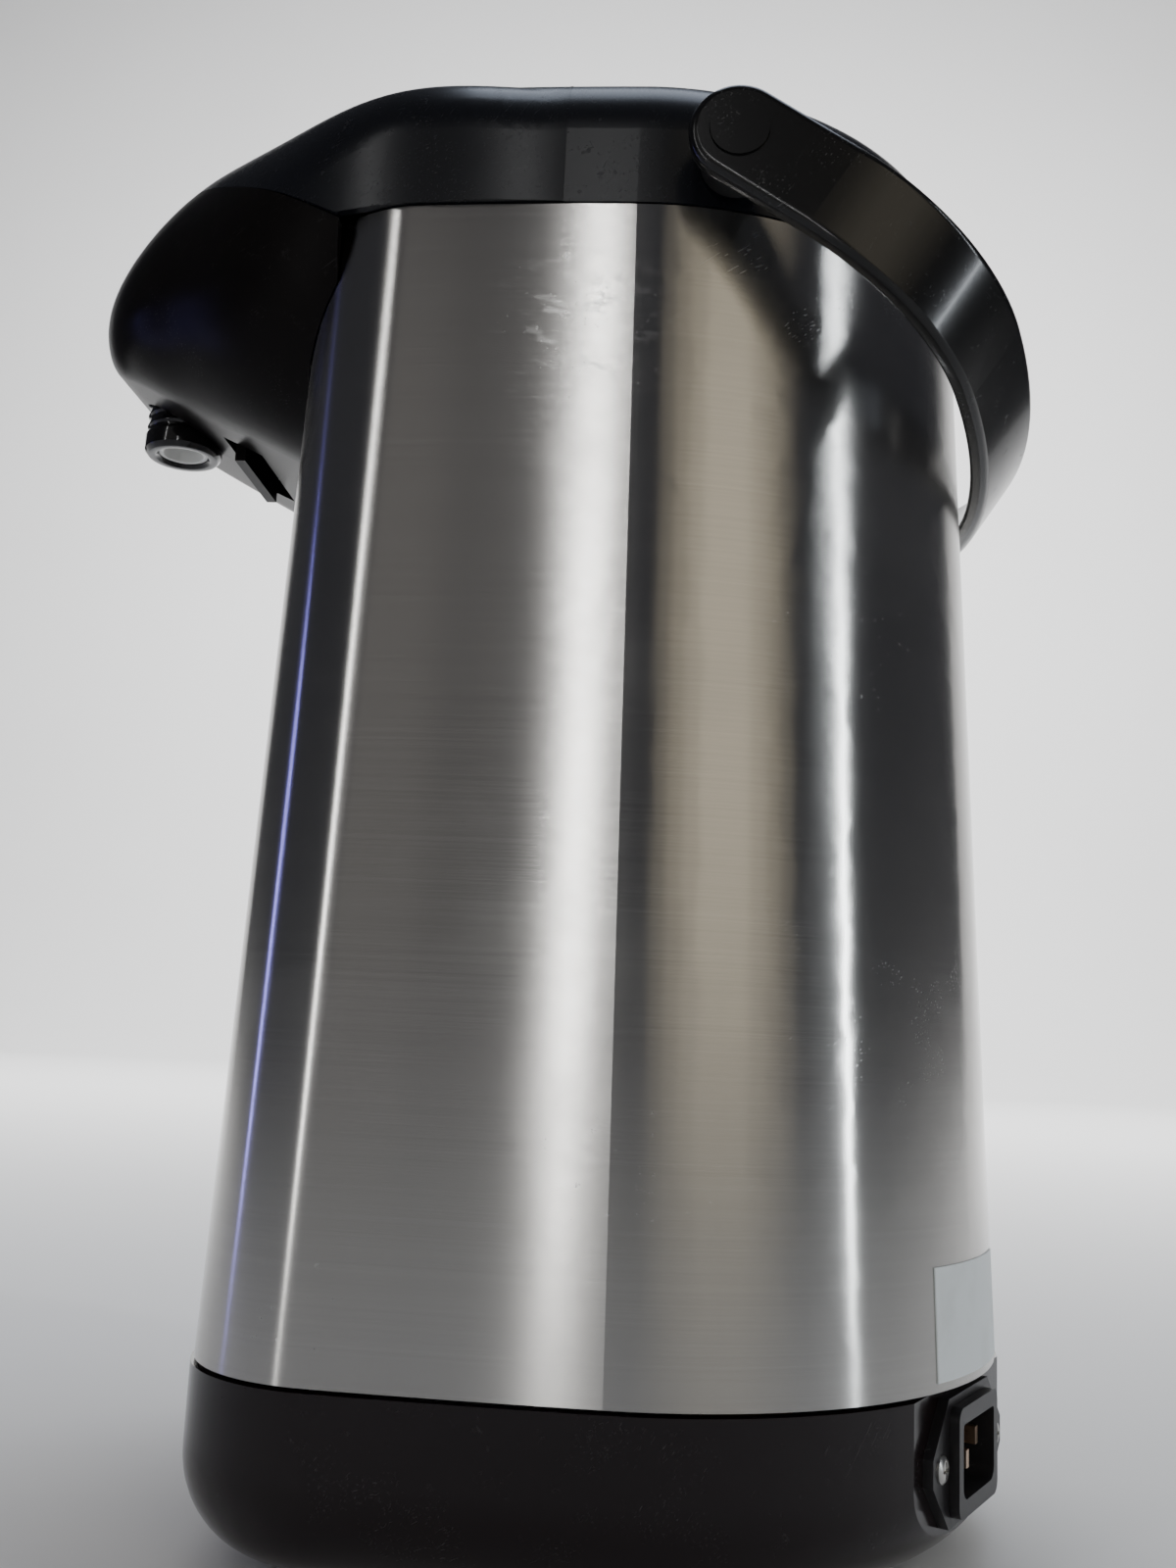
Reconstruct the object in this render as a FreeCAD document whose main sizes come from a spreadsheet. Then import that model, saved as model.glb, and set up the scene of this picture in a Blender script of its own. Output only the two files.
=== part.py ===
"""Electric thermo pot: a heated, insulated water pot with a dispensing beak, a hinged lid and a bail handle.

Origin: centre of the foot pad's underside. +Z is up, -Y is the front (the beak), +Y is the back.
Lengths are millimetres and angles are degrees.
"""
import FreeCAD, Part
import math
import os

import Sketcher
from FreeCAD import Placement, Rotation, Vector

DRIVING = {
    # plan of the body at the base seam: a half circle behind, and flattened sides and front
    "seam_half_width": 98, "seam_back": 105, "seam_front": 91, "seam_corner": 36,
    "side_radius": 900, "front_radius": 1200,
    # how far the body draws in from the seam to the rim
    "side_taper": 7.5, "back_taper": 11.5, "front_taper": 8, "corner_taper": 2,
    # heights of the stack, from the table up
    "pad_height": 3, "seam_level": 45, "steel_height": 275, "collar_height": 42, "crown_height": 54,
    # walls and gaps
    "steel_wall": 0.8, "plastic_wall": 2.5, "gap": 0.4, "running_gap": 0.05, "swing_gap": 1.0,
    "touch_gap": 0.1,
    # base
    "base_proud": 0.8, "base_round": 23, "plate_margin": 17, "pad_margin": 10, "plate_wall": 3,
    "foot_screw_margin": 6, "foot_screw_head": 3.2, "foot_screw_length": 12, "screw_head_height": 1.6,
    # mains inlet on its own flat of the base
    "inlet_angle": 28, "inlet_level": 28.5, "flat_half_width": 32, "flange_half_length": 26,
    "flange_half_height": 14, "flange_tip": 3, "flange_wall": 2.4, "shroud_width": 30,
    "shroud_height": 24, "shroud_proud": 2.5, "shroud_depth": 15, "socket_width": 24,
    "socket_height": 16.5, "socket_corner": 3, "socket_wall": 2, "inlet_screw_spacing": 40,
    "inlet_screw_radius": 1.7, "inlet_head_radius": 3.1, "inlet_head_height": 1.2,
    "inlet_screw_depth": 6, "blade_width": 2, "blade_height": 4, "blade_spacing": 7,
    "label_width": 44, "label_height": 25, "label_wall": 0.3, "label_rise": 2,
    # inner pot and heating
    "pot_floor": 72, "pot_corner": 8, "pot_flange": 2.5, "rim_step": 1, "mouth_shift": 2,
    "heater_margin": 12, "heater_wall": 7, "band_wall": 2.5, "band_height": 60, "band_rise": 10,
    "band_gap": 0.6, "thermostat_radius": 12, "thermostat_height": 9, "thermostat_back": 24,
    "fuse_left": 30, "fuse_back": 22, "fuse_height": 5,
    "board_right": 22, "board_back": 44, "board_rise": 8, "board_wall": 1.6,
    "transformer_forward": 4, "transformer_height": 20,
    # pump under the pot
    "pump_offset": 34, "pump_radius": 19, "pump_height": 20, "pump_level": 10, "pump_wall": 3,
    "motor_radius": 15, "motor_height": 24, "impeller_radius": 14, "shaft_radius": 1.5,
    "shaft_reach": 6, "disc_wall": 2, "vane_wall": 1.6,
    "riser_bore": 5, "riser_wall": 1, "riser_bend": 11, "riser_rise": 16, "outlet_rise": 14,
    # gauge
    "gauge_width": 16, "gauge_height": 160, "gauge_rise": 45,
    # head, mouth and lid
    "head_proud": 0.3, "collar_round": 22, "collar_wall": 3, "ring_wall": 2, "ring_drop": 16,
    "mouth_gap": 0.5, "lid_gap": 1.0, "lid_edge": 12, "seal_width": 7.5, "lid_plug_depth": 38,
    "liner_wall": 1.5, "liner_corner": 6, "lip_width": 3, "lip_height": 2.5,
    "hinge_set": 3.5, "hinge_drop": 4, "hinge_pin_radius": 2, "hinge_half_length": 22,
    "barrel_radius": 4, "arm_height": 6, "notch_length": 26, "notch_height": 20,
    "vent_radius": 9, "vent_back": 54, "vent_sunk": 2,
    # air pump in the lid
    "press_radius": 33, "press_wall": 3, "well_wall": 2, "bellows_radius": 25, "bellows_wall": 1,
    "fold_depth": 4, "spring_radius": 13, "spring_wire": 1.2,
    # lid latch
    "latch_width": 30, "latch_length": 22, "latch_height": 6, "latch_lip": 4.5, "latch_depth": 6,
    "latch_pin_radius": 1.2, "latch_pin_reach": 6,
    # beak
    "beak_length": 72.5, "beak_overlap": 11, "beak_wall": 2.4, "parting_angle": 30,
    "parting_back": 6, "parting_rise": 2.7,
    "nozzle_setback": 18, "nozzle_drop": 31, "nozzle_radius": 11.5, "nozzle_bore": 6,
    "nozzle_height": 18,
    # controls
    "panel_width": 56, "panel_length": 24, "panel_setout": 20, "panel_rise": 43.5, "panel_wall": 2.5,
    "key_radius": 5.5, "key_gap": 0.2, "key_spacing": 17, "key_forward": 3, "key_proud": 1,
    "led_radius": 1.5, "led_back": 8, "led_proud": 0.4, "panel_board_drop": 7,
    # cup lever
    "lever_setback": 23.5, "lever_drop": 27, "lever_width": 34, "lever_length": 17,
    "lever_wall": 3, "lever_barrel": 3, "lever_pin_radius": 1.5, "lever_pin_reach": 5,
    # handle
    "handle_back": 27, "handle_rise": 11, "handle_droop": 33, "handle_clearance": 14,
    "handle_overhang": 2.3, "handle_height": 24, "handle_wall": 5.5, "handle_corner": 58,
    "handle_curve": 160, "handle_round": 2.2, "pivot_radius": 5, "pivot_cap_radius": 7,
    "cap_depth": 2, "cap_proud": 0.6, "bush_wall": 4, "pivot_plate_wall": 3,
    "pivot_plate_length": 24, "pivot_plate_height": 18, "pivot_plate_gap": 1.5,
}

doc = FreeCAD.newDocument("thermo_pot")
sheet = doc.addObject("Spreadsheet::Sheet", "Sizes")


class Size:
    """A number together with the spreadsheet formula that it comes from."""

    def __init__(self, value, text):
        self.value = value
        self.text = text

    def __add__(self, other):
        return Size(self.value + number(other), f"({self.text} + {formula(other)})")

    def __radd__(self, other):
        return self + other

    def __sub__(self, other):
        return Size(self.value - number(other), f"({self.text} - {formula(other)})")

    def __rsub__(self, other):
        return -self + other

    def __neg__(self):
        return Size(-self.value, f"(0 - {self.text})")

    def __mul__(self, factor):
        return Size(self.value * number(factor), f"({self.text} * {formula(factor)})")

    def __rmul__(self, factor):
        return self * factor

    def __truediv__(self, divisor):
        return Size(self.value / number(divisor), f"({self.text} / {formula(divisor)})")


def number(size):
    return size.value if isinstance(size, Size) else float(size)


def formula(size):
    return size.text if isinstance(size, Size) else str(size)


def sine(angle):
    return Size(math.sin(math.radians(angle.value)), f"sin({angle.text})")


def cosine(angle):
    return Size(math.cos(math.radians(angle.value)), f"cos({angle.text})")


def root(size):
    return Size(math.sqrt(size.value), f"sqrt({size.text})")


class Sizes:
    """Each driving dimension as an attribute, bound to its own cell."""

    def __init__(self):
        for row, (name, value) in enumerate(DRIVING.items(), start=1):
            sheet.set(f"A{row}", name)
            sheet.set(f"B{row}", str(value))
            sheet.setAlias(f"B{row}", name)
            setattr(self, name, Size(float(value), f"Sizes.{name}"))


S = Sizes()
doc.recompute()
nodes = []


# ---------------------------------------------------------------- sketch and feature helpers

def limit(sketch, constraint, size=None):
    """Add a constraint, and bind it to the spreadsheet when its size comes from there."""
    index = sketch.addConstraint(constraint)
    if isinstance(size, Size):
        sketch.setExpression(f"Constraints[{index}]", size.text)


def fix_x(sketch, line, point, x):
    limit(sketch, Sketcher.Constraint("DistanceX", -1, 1, line, point, number(x)), x)


def fix_y(sketch, line, point, y):
    limit(sketch, Sketcher.Constraint("DistanceY", -1, 1, line, point, number(y)), y)


def fix_radius(sketch, curve, radius):
    limit(sketch, Sketcher.Constraint("Radius", curve, number(radius)), radius)


def spot(x, y):
    return Vector(number(x), number(y), 0)


def arc_about(centre, radius, start, end):
    circle = Part.Circle(centre, Vector(0, 0, 1), number(radius))
    return Part.ArcOfCircle(circle, start, end)


def bearing(centre, point):
    return math.atan2(point.y - centre.y, point.x - centre.x)


def free_sketch(name, x=0, y=0, z=0, turn=None):
    """A sketch of its own, for lofts, at a bound place."""
    sketch = doc.addObject("Sketcher::SketchObject", name)
    place(sketch, x, y, z, turn)
    return sketch


def place(thing, x=0, y=0, z=0, turn=None):
    """Put an object at a place; each coordinate that is a Size stays bound to the spreadsheet."""
    thing.Placement = Placement(Vector(number(x), number(y), number(z)), turn or Rotation())
    for axis, value in zip("xyz", (x, y, z)):
        if isinstance(value, Size):
            thing.setExpression(f"Placement.Base.{axis}", value.text)


def body_sketch(body, name, plane="XY_Plane", lift=0):
    """A sketch on one of the body's own origin planes, lifted off it by a bound distance."""
    sketch = body.newObject("Sketcher::SketchObject", name)
    support = [feature for feature in body.Origin.OriginFeatures if feature.Role == plane][0]
    sketch.AttachmentSupport = (support, [""])
    sketch.MapMode = "FlatFace"
    sketch.AttachmentOffset = Placement(Vector(0, 0, number(lift)), Rotation())
    if isinstance(lift, Size):
        sketch.setExpression("AttachmentOffset.Base.z", lift.text)
    return sketch


def outline(sketch, corners):
    """Close a run of corners (x, y) or (x, y, radius). A radius bends the edge that leaves its corner:
    positive bulges outwards on an outline that runs anticlockwise, negative inwards."""
    ends = []
    for corner, following in zip(corners, corners[1:] + corners[:1]):
        start, end = spot(*corner[:2]), spot(*following[:2])
        if len(corner) == 2:
            sketch.addGeometry(Part.LineSegment(start, end), False)
            ends.append((1, 2))
            continue
        radius = abs(number(corner[2]))
        outward = 1 if number(corner[2]) > 0 else -1
        chord = end - start
        across = Vector(-chord.y, chord.x, 0).normalize() * outward
        centre = (start + end) * 0.5 + across * math.sqrt(radius ** 2 - (chord.Length / 2) ** 2)
        first, last = (start, end) if outward > 0 else (end, start)
        sketch.addGeometry(arc_about(centre, radius, bearing(centre, first), bearing(centre, last)), False)
        ends.append((1, 2) if outward > 0 else (2, 1))
    count = len(corners)
    for index in range(count):
        following = (index + 1) % count
        sketch.addConstraint(
            Sketcher.Constraint("Coincident", index, ends[index][1], following, ends[following][0]))
    for index, corner in enumerate(corners):
        fix_x(sketch, index, ends[index][0], corner[0])
        fix_y(sketch, index, ends[index][0], corner[1])
        if len(corner) == 3:
            size = corner[2]
            fix_radius(sketch, index, size if number(size) > 0 else -1 * size)


def circle_on(sketch, x, y, radius):
    index = sketch.addGeometry(Part.Circle(spot(x, y), Vector(0, 0, 1), number(radius)), False)
    fix_x(sketch, index, 3, x)
    fix_y(sketch, index, 3, y)
    fix_radius(sketch, index, radius)


def rounded_box(sketch, half_width, low, high, low_corner, high_corner):
    """A box with round corners, symmetric about the sketch's vertical axis."""
    w, b, t = number(half_width), number(low), number(high)
    rl, rh = number(low_corner), number(high_corner)
    quarter = math.pi / 2
    for piece in (
            Part.LineSegment(Vector(rl - w, b, 0), Vector(w - rl, b, 0)),
            arc_about(Vector(w - rl, b + rl, 0), rl, -quarter, 0),
            Part.LineSegment(Vector(w, b + rl, 0), Vector(w, t - rh, 0)),
            arc_about(Vector(w - rh, t - rh, 0), rh, 0, quarter),
            Part.LineSegment(Vector(w - rh, t, 0), Vector(rh - w, t, 0)),
            arc_about(Vector(rh - w, t - rh, 0), rh, quarter, 2 * quarter),
            Part.LineSegment(Vector(-w, t - rh, 0), Vector(-w, b + rl, 0)),
            arc_about(Vector(rl - w, b + rl, 0), rl, 2 * quarter, 3 * quarter)):
        sketch.addGeometry(piece, False)
    for index in range(8):
        sketch.addConstraint(Sketcher.Constraint("Tangent", index, 2, (index + 1) % 8, 1))
    sketch.addConstraint(Sketcher.Constraint("Horizontal", 0))
    sketch.addConstraint(Sketcher.Constraint("Horizontal", 4))
    sketch.addConstraint(Sketcher.Constraint("Vertical", 2))
    sketch.addConstraint(Sketcher.Constraint("Vertical", 6))
    fix_y(sketch, 0, 1, low)
    fix_y(sketch, 4, 1, high)
    fix_x(sketch, 2, 1, half_width)
    fix_x(sketch, 6, 1, -1 * half_width)
    for curve, radius in ((1, low_corner), (7, low_corner), (3, high_corner), (5, high_corner)):
        fix_radius(sketch, curve, radius)


def shared_point(centre_a, reach_a, centre_b, reach_b):
    """The right-hand point that lies at reach_a from one centre and at reach_b from the other."""
    apart = centre_b - centre_a
    distance = apart.Length
    along = (reach_a ** 2 - reach_b ** 2 + distance ** 2) / (2 * distance)
    off = math.sqrt(reach_a ** 2 - along ** 2)
    direction = Vector(apart).normalize()
    middle = centre_a + direction * along
    sides = [middle + Vector(-direction.y, direction.x, 0) * off,
             middle - Vector(-direction.y, direction.x, 0) * off]
    return min(sides, key=lambda point: point.y)


def body_plan(sketch, half_width, back, front, corner, inset=0):
    """The pot's plan: a half circle behind, slightly bowed sides and front, and round front corners."""
    half_width, back, front, corner = (size - inset for size in (half_width, back, front, corner))
    side_radius = S.side_radius - inset
    front_radius = S.front_radius - inset
    middle = back - half_width
    half_circle_centre = spot(0, middle)
    side_centre = spot(half_width - side_radius, middle)
    front_centre = spot(0, front_radius - front)
    corner_centre = shared_point(side_centre, number(side_radius - corner),
                                 front_centre, number(front_radius - corner))
    mirror_corner = Vector(-corner_centre.x, corner_centre.y, 0)
    mirror_side = Vector(-side_centre.x, side_centre.y, 0)
    to_corner = bearing(side_centre, corner_centre)
    to_front = bearing(front_centre, corner_centre)
    for piece in (
            arc_about(half_circle_centre, half_width, 0, math.pi),
            arc_about(mirror_side, side_radius, math.pi, math.pi - to_corner),
            arc_about(mirror_corner, corner, math.pi - to_corner, math.pi - to_front),
            arc_about(front_centre, front_radius, math.pi - to_front, to_front),
            arc_about(corner_centre, corner, to_front, to_corner),
            arc_about(side_centre, side_radius, to_corner, 0)):
        sketch.addGeometry(piece, False)
    for index in range(6):
        sketch.addConstraint(Sketcher.Constraint("Tangent", index, 2, (index + 1) % 6, 1))
    for curve, radius in enumerate((half_width, side_radius, corner, front_radius, corner, side_radius)):
        fix_radius(sketch, curve, radius)
    sketch.addConstraint(Sketcher.Constraint("PointOnObject", 0, 3, -2))
    sketch.addConstraint(Sketcher.Constraint("PointOnObject", 3, 3, -2))
    sketch.addConstraint(Sketcher.Constraint("Horizontal", 0, 3, 0, 1))
    sketch.addConstraint(Sketcher.Constraint("Horizontal", 0, 3, 0, 2))
    fix_y(sketch, 0, 3, middle)
    fix_y(sketch, 3, 3, front_radius - front)
    return sketch


def seam_plan(sketch, inset=0):
    return body_plan(sketch, S.seam_half_width, S.seam_back, S.seam_front, S.seam_corner, inset)


def rim_plan(sketch, inset=0):
    return body_plan(sketch, rim_half_width, rim_back, rim_front, rim_corner, inset)


def new_body(label):
    body = doc.addObject("PartDesign::Body", label)
    body.Label = label
    return body


def pad(body, sketch, length, reverse=False, both_ways=False):
    feature = body.newObject("PartDesign::Pad", sketch.Name + "_pad")
    feature.Profile = sketch
    feature.Length = number(length)
    if isinstance(length, Size):
        feature.setExpression("Length", length.text)
    feature.Reversed = reverse
    feature.Midplane = both_ways
    return feature


def pocket(body, sketch, length, reverse=False):
    feature = body.newObject("PartDesign::Pocket", sketch.Name + "_pocket")
    feature.Profile = sketch
    feature.Length = number(length)
    if isinstance(length, Size):
        feature.setExpression("Length", length.text)
    feature.Reversed = reverse
    doc.recompute()
    return feature


def soften(body, radius, chosen, kind="Fillet"):
    """Round or chamfer the edges of the body's last feature that the test picks."""
    doc.recompute()
    last = body.Tip
    names = [f"Edge{index}" for index, edge in enumerate(last.Shape.Edges, start=1) if chosen(edge)]
    feature = body.newObject(f"PartDesign::{kind}", f"{body.Name}_{kind.lower()}")
    feature.Base = (last, names)
    setting = "Radius" if kind == "Fillet" else "Size"
    setattr(feature, setting, number(radius))
    if isinstance(radius, Size):
        feature.setExpression(setting, radius.text)
    doc.recompute()
    return feature


def at_height(level):
    """Test for edges that lie wholly at one height of their shape."""
    def chosen(edge):
        box = edge.BoundBox
        return abs(box.ZMin - number(level)) < 0.01 and abs(box.ZMax - number(level)) < 0.01
    return chosen


def turned(label, corners, x=0, y=0, z=0, turn=None):
    """A turned piece: the outline (radius, height) revolved about the piece's own Z axis."""
    body = new_body(label)
    sketch = body_sketch(body, label + "_half_section", "XZ_Plane")
    outline(sketch, corners)
    feature = body.newObject("PartDesign::Revolution", label + "_turned")
    feature.Profile = sketch
    feature.ReferenceAxis = (sketch, ["V_Axis"])
    feature.Angle = 360
    place(body, x, y, z, turn)
    return body


def plate(label, corners, thickness, x=0, y=0, z=0, turn=None, both_ways=False):
    """A flat piece: the outline padded along the piece's own Z axis."""
    body = new_body(label)
    sketch = body_sketch(body, label + "_outline")
    outline(sketch, corners)
    pad(body, sketch, thickness, both_ways=both_ways)
    place(body, x, y, z, turn)
    return body


def drill(body, name, spots, radius, depth, lift=0, reverse=False):
    """Round holes through a body, from a plane lifted off its own XY plane."""
    sketch = body_sketch(body, name, "XY_Plane", lift)
    for x, y in spots:
        circle_on(sketch, x, y, radius)
    return pocket(body, sketch, depth, reverse)


def rectangle(half_x, half_y, x=0, y=0):
    return [(x - half_x, y - half_y), (x + half_x, y - half_y),
            (x + half_x, y + half_y), (x - half_x, y + half_y)]


def block(name, length, width, height, x, y, z, turn=None):
    """A plain box that stands on its centre (x, y) at height z; used for cutting and windows."""
    half_length, half_width = length / 2, width / 2
    return plate(name, rectangle(half_length, half_width), height, x, y, z, turn)


def loft(name, sections, ruled=False):
    solid = doc.addObject("Part::Loft", name)
    solid.Sections = sections
    solid.Solid = True
    solid.Ruled = ruled
    return solid


def combine(kind, label, first, second):
    """Part::Cut, Part::Common or Part::Fuse of two objects."""
    result = doc.addObject(f"Part::{kind}", label)
    result.Base = first
    result.Tool = second
    return result


def cut(label, first, *tools):
    for index, tool in enumerate(tools):
        last = index == len(tools) - 1
        first = combine("Cut", label if last else f"{label}_step_{index}", first, tool)
    return first


def keep(thing):
    """Mark an object as a finished sub-part; its Label is the name of its file."""
    nodes.append(thing)
    return thing


# ---------------------------------------------------------------- places used by several pieces

rim_half_width = S.seam_half_width - S.side_taper
rim_back = S.seam_back - S.back_taper
rim_front = S.seam_front - S.front_taper
rim_corner = S.seam_corner - S.corner_taper
rim_level = S.seam_level + S.steel_height
collar_bottom = rim_level + S.gap
collar_top = rim_level + S.collar_height
crown_top = rim_level + S.crown_height
back_centre = S.seam_back - S.seam_half_width
base_floor = S.pad_height + S.plate_wall
riser_radius = S.riser_bore / 2 + S.riser_wall
riser_line = rim_front - S.plastic_wall - riser_radius - S.gap
pot_radius = riser_line - riser_radius - S.band_wall - S.band_gap + S.mouth_shift
mouth_radius = pot_radius + S.mouth_gap
plug_radius = mouth_radius - S.seal_width
plate_radius = S.seam_front - S.plate_margin
hinge_back = S.mouth_shift + mouth_radius + S.hinge_set
hinge_level = collar_top - S.hinge_drop
beak_root = rim_front - S.beak_overlap
beak_reach = rim_front + S.beak_length
nozzle_back = beak_reach - S.nozzle_setback
nozzle_level = rim_level - S.nozzle_drop
handle_half_width = rim_half_width + S.handle_clearance
handle_reach = rim_back + S.handle_overhang
handle_level = rim_level + S.handle_rise
CLEAR = 400  # a length that reaches past the whole pot, for cutting blocks
EDGE_ON = Rotation(Vector(1, 0, 0), 90)
SIDEWAYS = Rotation(Vector(0, 1, 0), 90)


# ---------------------------------------------------------------- steel shell

def tapered_body(name, inset, extra=0):
    """The pot's outer form from the seam to the rim, inset by a wall or grown by a gap."""
    lower = seam_plan(free_sketch(name + "_seam", z=S.seam_level - extra), inset)
    upper = rim_plan(free_sketch(name + "_rim", z=rim_level + extra), inset)
    return loft(name, [lower, upper], ruled=True)


steel_form = tapered_body("steel_form", 0)
steel_hollow = tapered_body("steel_hollow", S.steel_wall, 1)
gauge_level = S.seam_level + S.gauge_rise
gauge_slot = block("gauge_slot", S.gauge_width, plate_radius, S.gauge_height,
                   0, -1 * S.seam_front, gauge_level)
keep(cut("outer_shell", steel_form, steel_hollow, gauge_slot))


# ---------------------------------------------------------------- base

def base_form(name, inset, floor, rounding):
    body = new_body(name)
    sketch = body_sketch(body, name + "_plan", "XY_Plane", floor)
    seam_plan(sketch, inset)
    pad(body, sketch, S.seam_level - floor - S.gap)
    soften(body, rounding, at_height(floor))
    return body


flat_reach = root((S.seam_half_width + S.base_proud) * (S.seam_half_width + S.base_proud)
                  - S.flat_half_width * S.flat_half_width)
inlet_turn = Rotation(Vector(0, 0, 1), -DRIVING["inlet_angle"])
inlet_sin = sine(S.inlet_angle)
inlet_cos = cosine(S.inlet_angle)
inlet_direction = Vector(number(inlet_sin), number(inlet_cos), 0)


def facing_inlet(name, reach):
    """A block that stands outside the inlet's flat, at a distance from the body's back centre."""
    depth = S.seam_half_width
    middle = reach + depth / 2
    return block(name, depth, depth, depth, middle * inlet_sin, back_centre + middle * inlet_cos,
                 0, inlet_turn)


base_outer = cut("base_outer", base_form("base_solid", -1 * S.base_proud, S.pad_height, S.base_round),
                 facing_inlet("flat_outside", flat_reach))
base_inner = cut("base_inner",
                 base_form("base_hollow", S.plastic_wall - S.base_proud, base_floor,
                           S.base_round - S.plastic_wall),
                 facing_inlet("flat_inside", flat_reach - S.plastic_wall))
base_mouth = block("base_mouth", S.seam_half_width * 3, S.seam_half_width * 3, S.seam_level,
                   0, 0, S.seam_level - S.gap * 2)
plate_seat = turned("plate_seat", [(0, 0), (plate_radius + S.gap, 0),
                                   (plate_radius + S.gap, S.seam_level / 2), (0, S.seam_level / 2)])
inlet_hole = block("inlet_hole", S.shroud_width + S.gap, S.seam_half_width, S.shroud_height + S.gap,
                   flat_reach * inlet_sin, back_centre + flat_reach * inlet_cos,
                   S.inlet_level - (S.shroud_height + S.gap) / 2, inlet_turn)
bore_length = 20
inlet_bores = []
for side in (-1, 1):
    along = side * S.inlet_screw_spacing / 2
    start = flat_reach - bore_length / 2
    inlet_bores.append(turned(
        f"inlet_bore_{side + 1}", [(0, 0), (S.inlet_screw_radius, 0), (S.inlet_screw_radius, bore_length),
                                   (0, bore_length)],
        start * inlet_sin - along * inlet_cos, back_centre + start * inlet_cos + along * inlet_sin,
        S.inlet_level, Rotation(Vector(0, 0, 1), inlet_direction)))
keep(cut("base_shell", base_outer, base_inner, base_mouth, plate_seat, inlet_hole, *inlet_bores))

screw_ring = plate_radius - S.foot_screw_margin
screw_spots = [(screw_ring * math.cos(math.radians(angle)),
                screw_ring * math.sin(math.radians(angle))) for angle in (45, 135, 225, 315)]
bottom_plate = turned("bottom_plate", [(0, 0), (plate_radius, 0), (plate_radius, S.plate_wall),
                                       (0, S.plate_wall)], z=S.pad_height)
drill(bottom_plate, "plate_screw_holes", screw_spots, S.inlet_screw_radius, S.plate_wall, reverse=True)
keep(bottom_plate)

pad_radius = plate_radius - S.pad_margin
pad_bevel = 1
keep(turned("foot_pad", [(0, 0), (pad_radius - pad_bevel, 0), (pad_radius, pad_bevel),
                         (pad_radius, S.pad_height), (0, S.pad_height)]))


def screw_row(label, spots, shank, head, shank_length, head_height, x=0, y=0, z=0, turn=None):
    """Like screws in one node; each stands on its head's outer face at the piece's z = 0."""
    body = new_body(label)
    head_sketch = body_sketch(body, label + "_heads")
    shank_sketch = body_sketch(body, label + "_shanks")
    for spot_x, spot_y in spots:
        circle_on(head_sketch, spot_x, spot_y, head)
        circle_on(shank_sketch, spot_x, spot_y, shank)
    pad(body, head_sketch, head_height)
    pad(body, shank_sketch, shank_length)
    place(body, x, y, z, turn)
    return body


bottom_screws = screw_row("bottom_screws", screw_spots, S.inlet_screw_radius - S.gap / 4,
                          S.foot_screw_head, S.foot_screw_length, S.screw_head_height,
                          z=S.pad_height - S.screw_head_height)
keep(bottom_screws)


# ---------------------------------------------------------------- mains inlet

flat_turn = Rotation(Vector(-inlet_direction.y, inlet_direction.x, 0), Vector(0, 0, 1),
                     inlet_direction, "ZXY")


def on_flat(thing, proud=0):
    """Put a piece on the inlet's flat: its own X runs along the flat, Y up and Z outwards."""
    reach = flat_reach + proud
    place(thing, reach * inlet_sin, back_centre + reach * inlet_cos, S.inlet_level, flat_turn)
    return thing


inlet_housing = new_body("inlet_housing")
shroud_sketch = body_sketch(inlet_housing, "shroud", lift=-1 * S.shroud_depth)
rounded_box(shroud_sketch, S.shroud_width / 2, S.shroud_height / -2, S.shroud_height / 2,
            S.socket_corner, S.socket_corner)
pad(inlet_housing, shroud_sketch, S.shroud_depth + S.flange_wall + S.shroud_proud)
flange_sketch = body_sketch(inlet_housing, "flange")
half_shroud = S.shroud_width / 2
lower_edge = [(-1 * S.flange_half_length, -1 * S.flange_tip), (-1 * half_shroud, -1 * S.flange_half_height),
              (half_shroud, -1 * S.flange_half_height), (S.flange_half_length, -1 * S.flange_tip)]
outline(flange_sketch, lower_edge + [(-1 * x, -1 * y) for x, y in lower_edge])
pad(inlet_housing, flange_sketch, S.flange_wall)
socket_sketch = body_sketch(inlet_housing, "socket", lift=S.socket_wall - S.shroud_depth)
rounded_box(socket_sketch, S.socket_width / 2, S.socket_height / -2, S.socket_height / 2,
            S.socket_corner, 1)
doc.recompute()
pocket(inlet_housing, socket_sketch, S.shroud_depth * 2, reverse=True)
inlet_holes = [(S.inlet_screw_spacing / -2, 0), (S.inlet_screw_spacing / 2, 0)]
drill(inlet_housing, "inlet_screw_holes", inlet_holes, S.inlet_screw_radius, S.flange_wall, reverse=True)
blade_offset = S.blade_height / 2
blade_spots = [(side * S.blade_spacing, blade_offset if side else -1 * blade_offset) for side in (-1, 0, 1)]
inlet_pins = new_body("inlet_pins")
blades = body_sketch(inlet_pins, "blades", lift=S.socket_wall + S.touch_gap - S.shroud_depth)
first = 0
for x, y in blade_spots:
    left, right = x - S.blade_width / 2, x + S.blade_width / 2
    low, high = y - S.blade_height / 2, y + S.blade_height / 2
    for start, end in (((left, low), (right, low)), ((right, low), (right, high)),
                       ((right, high), (left, high)), ((left, high), (left, low))):
        blades.addGeometry(Part.LineSegment(spot(*start), spot(*end)), False)
    for side in range(4):
        blades.addConstraint(Sketcher.Constraint("Coincident", first + side, 2, first + (side + 1) % 4, 1))
        blades.addConstraint(Sketcher.Constraint("Vertical" if side % 2 else "Horizontal", first + side))
    fix_x(blades, first, 1, left)
    fix_y(blades, first, 1, low)
    fix_x(blades, first, 2, right)
    fix_y(blades, first + 2, 1, high)
    first += 4
pad(inlet_pins, blades, S.shroud_depth)
keep(on_flat(inlet_housing))
keep(on_flat(inlet_pins))
inlet_screws = new_body("inlet_screws")
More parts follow.
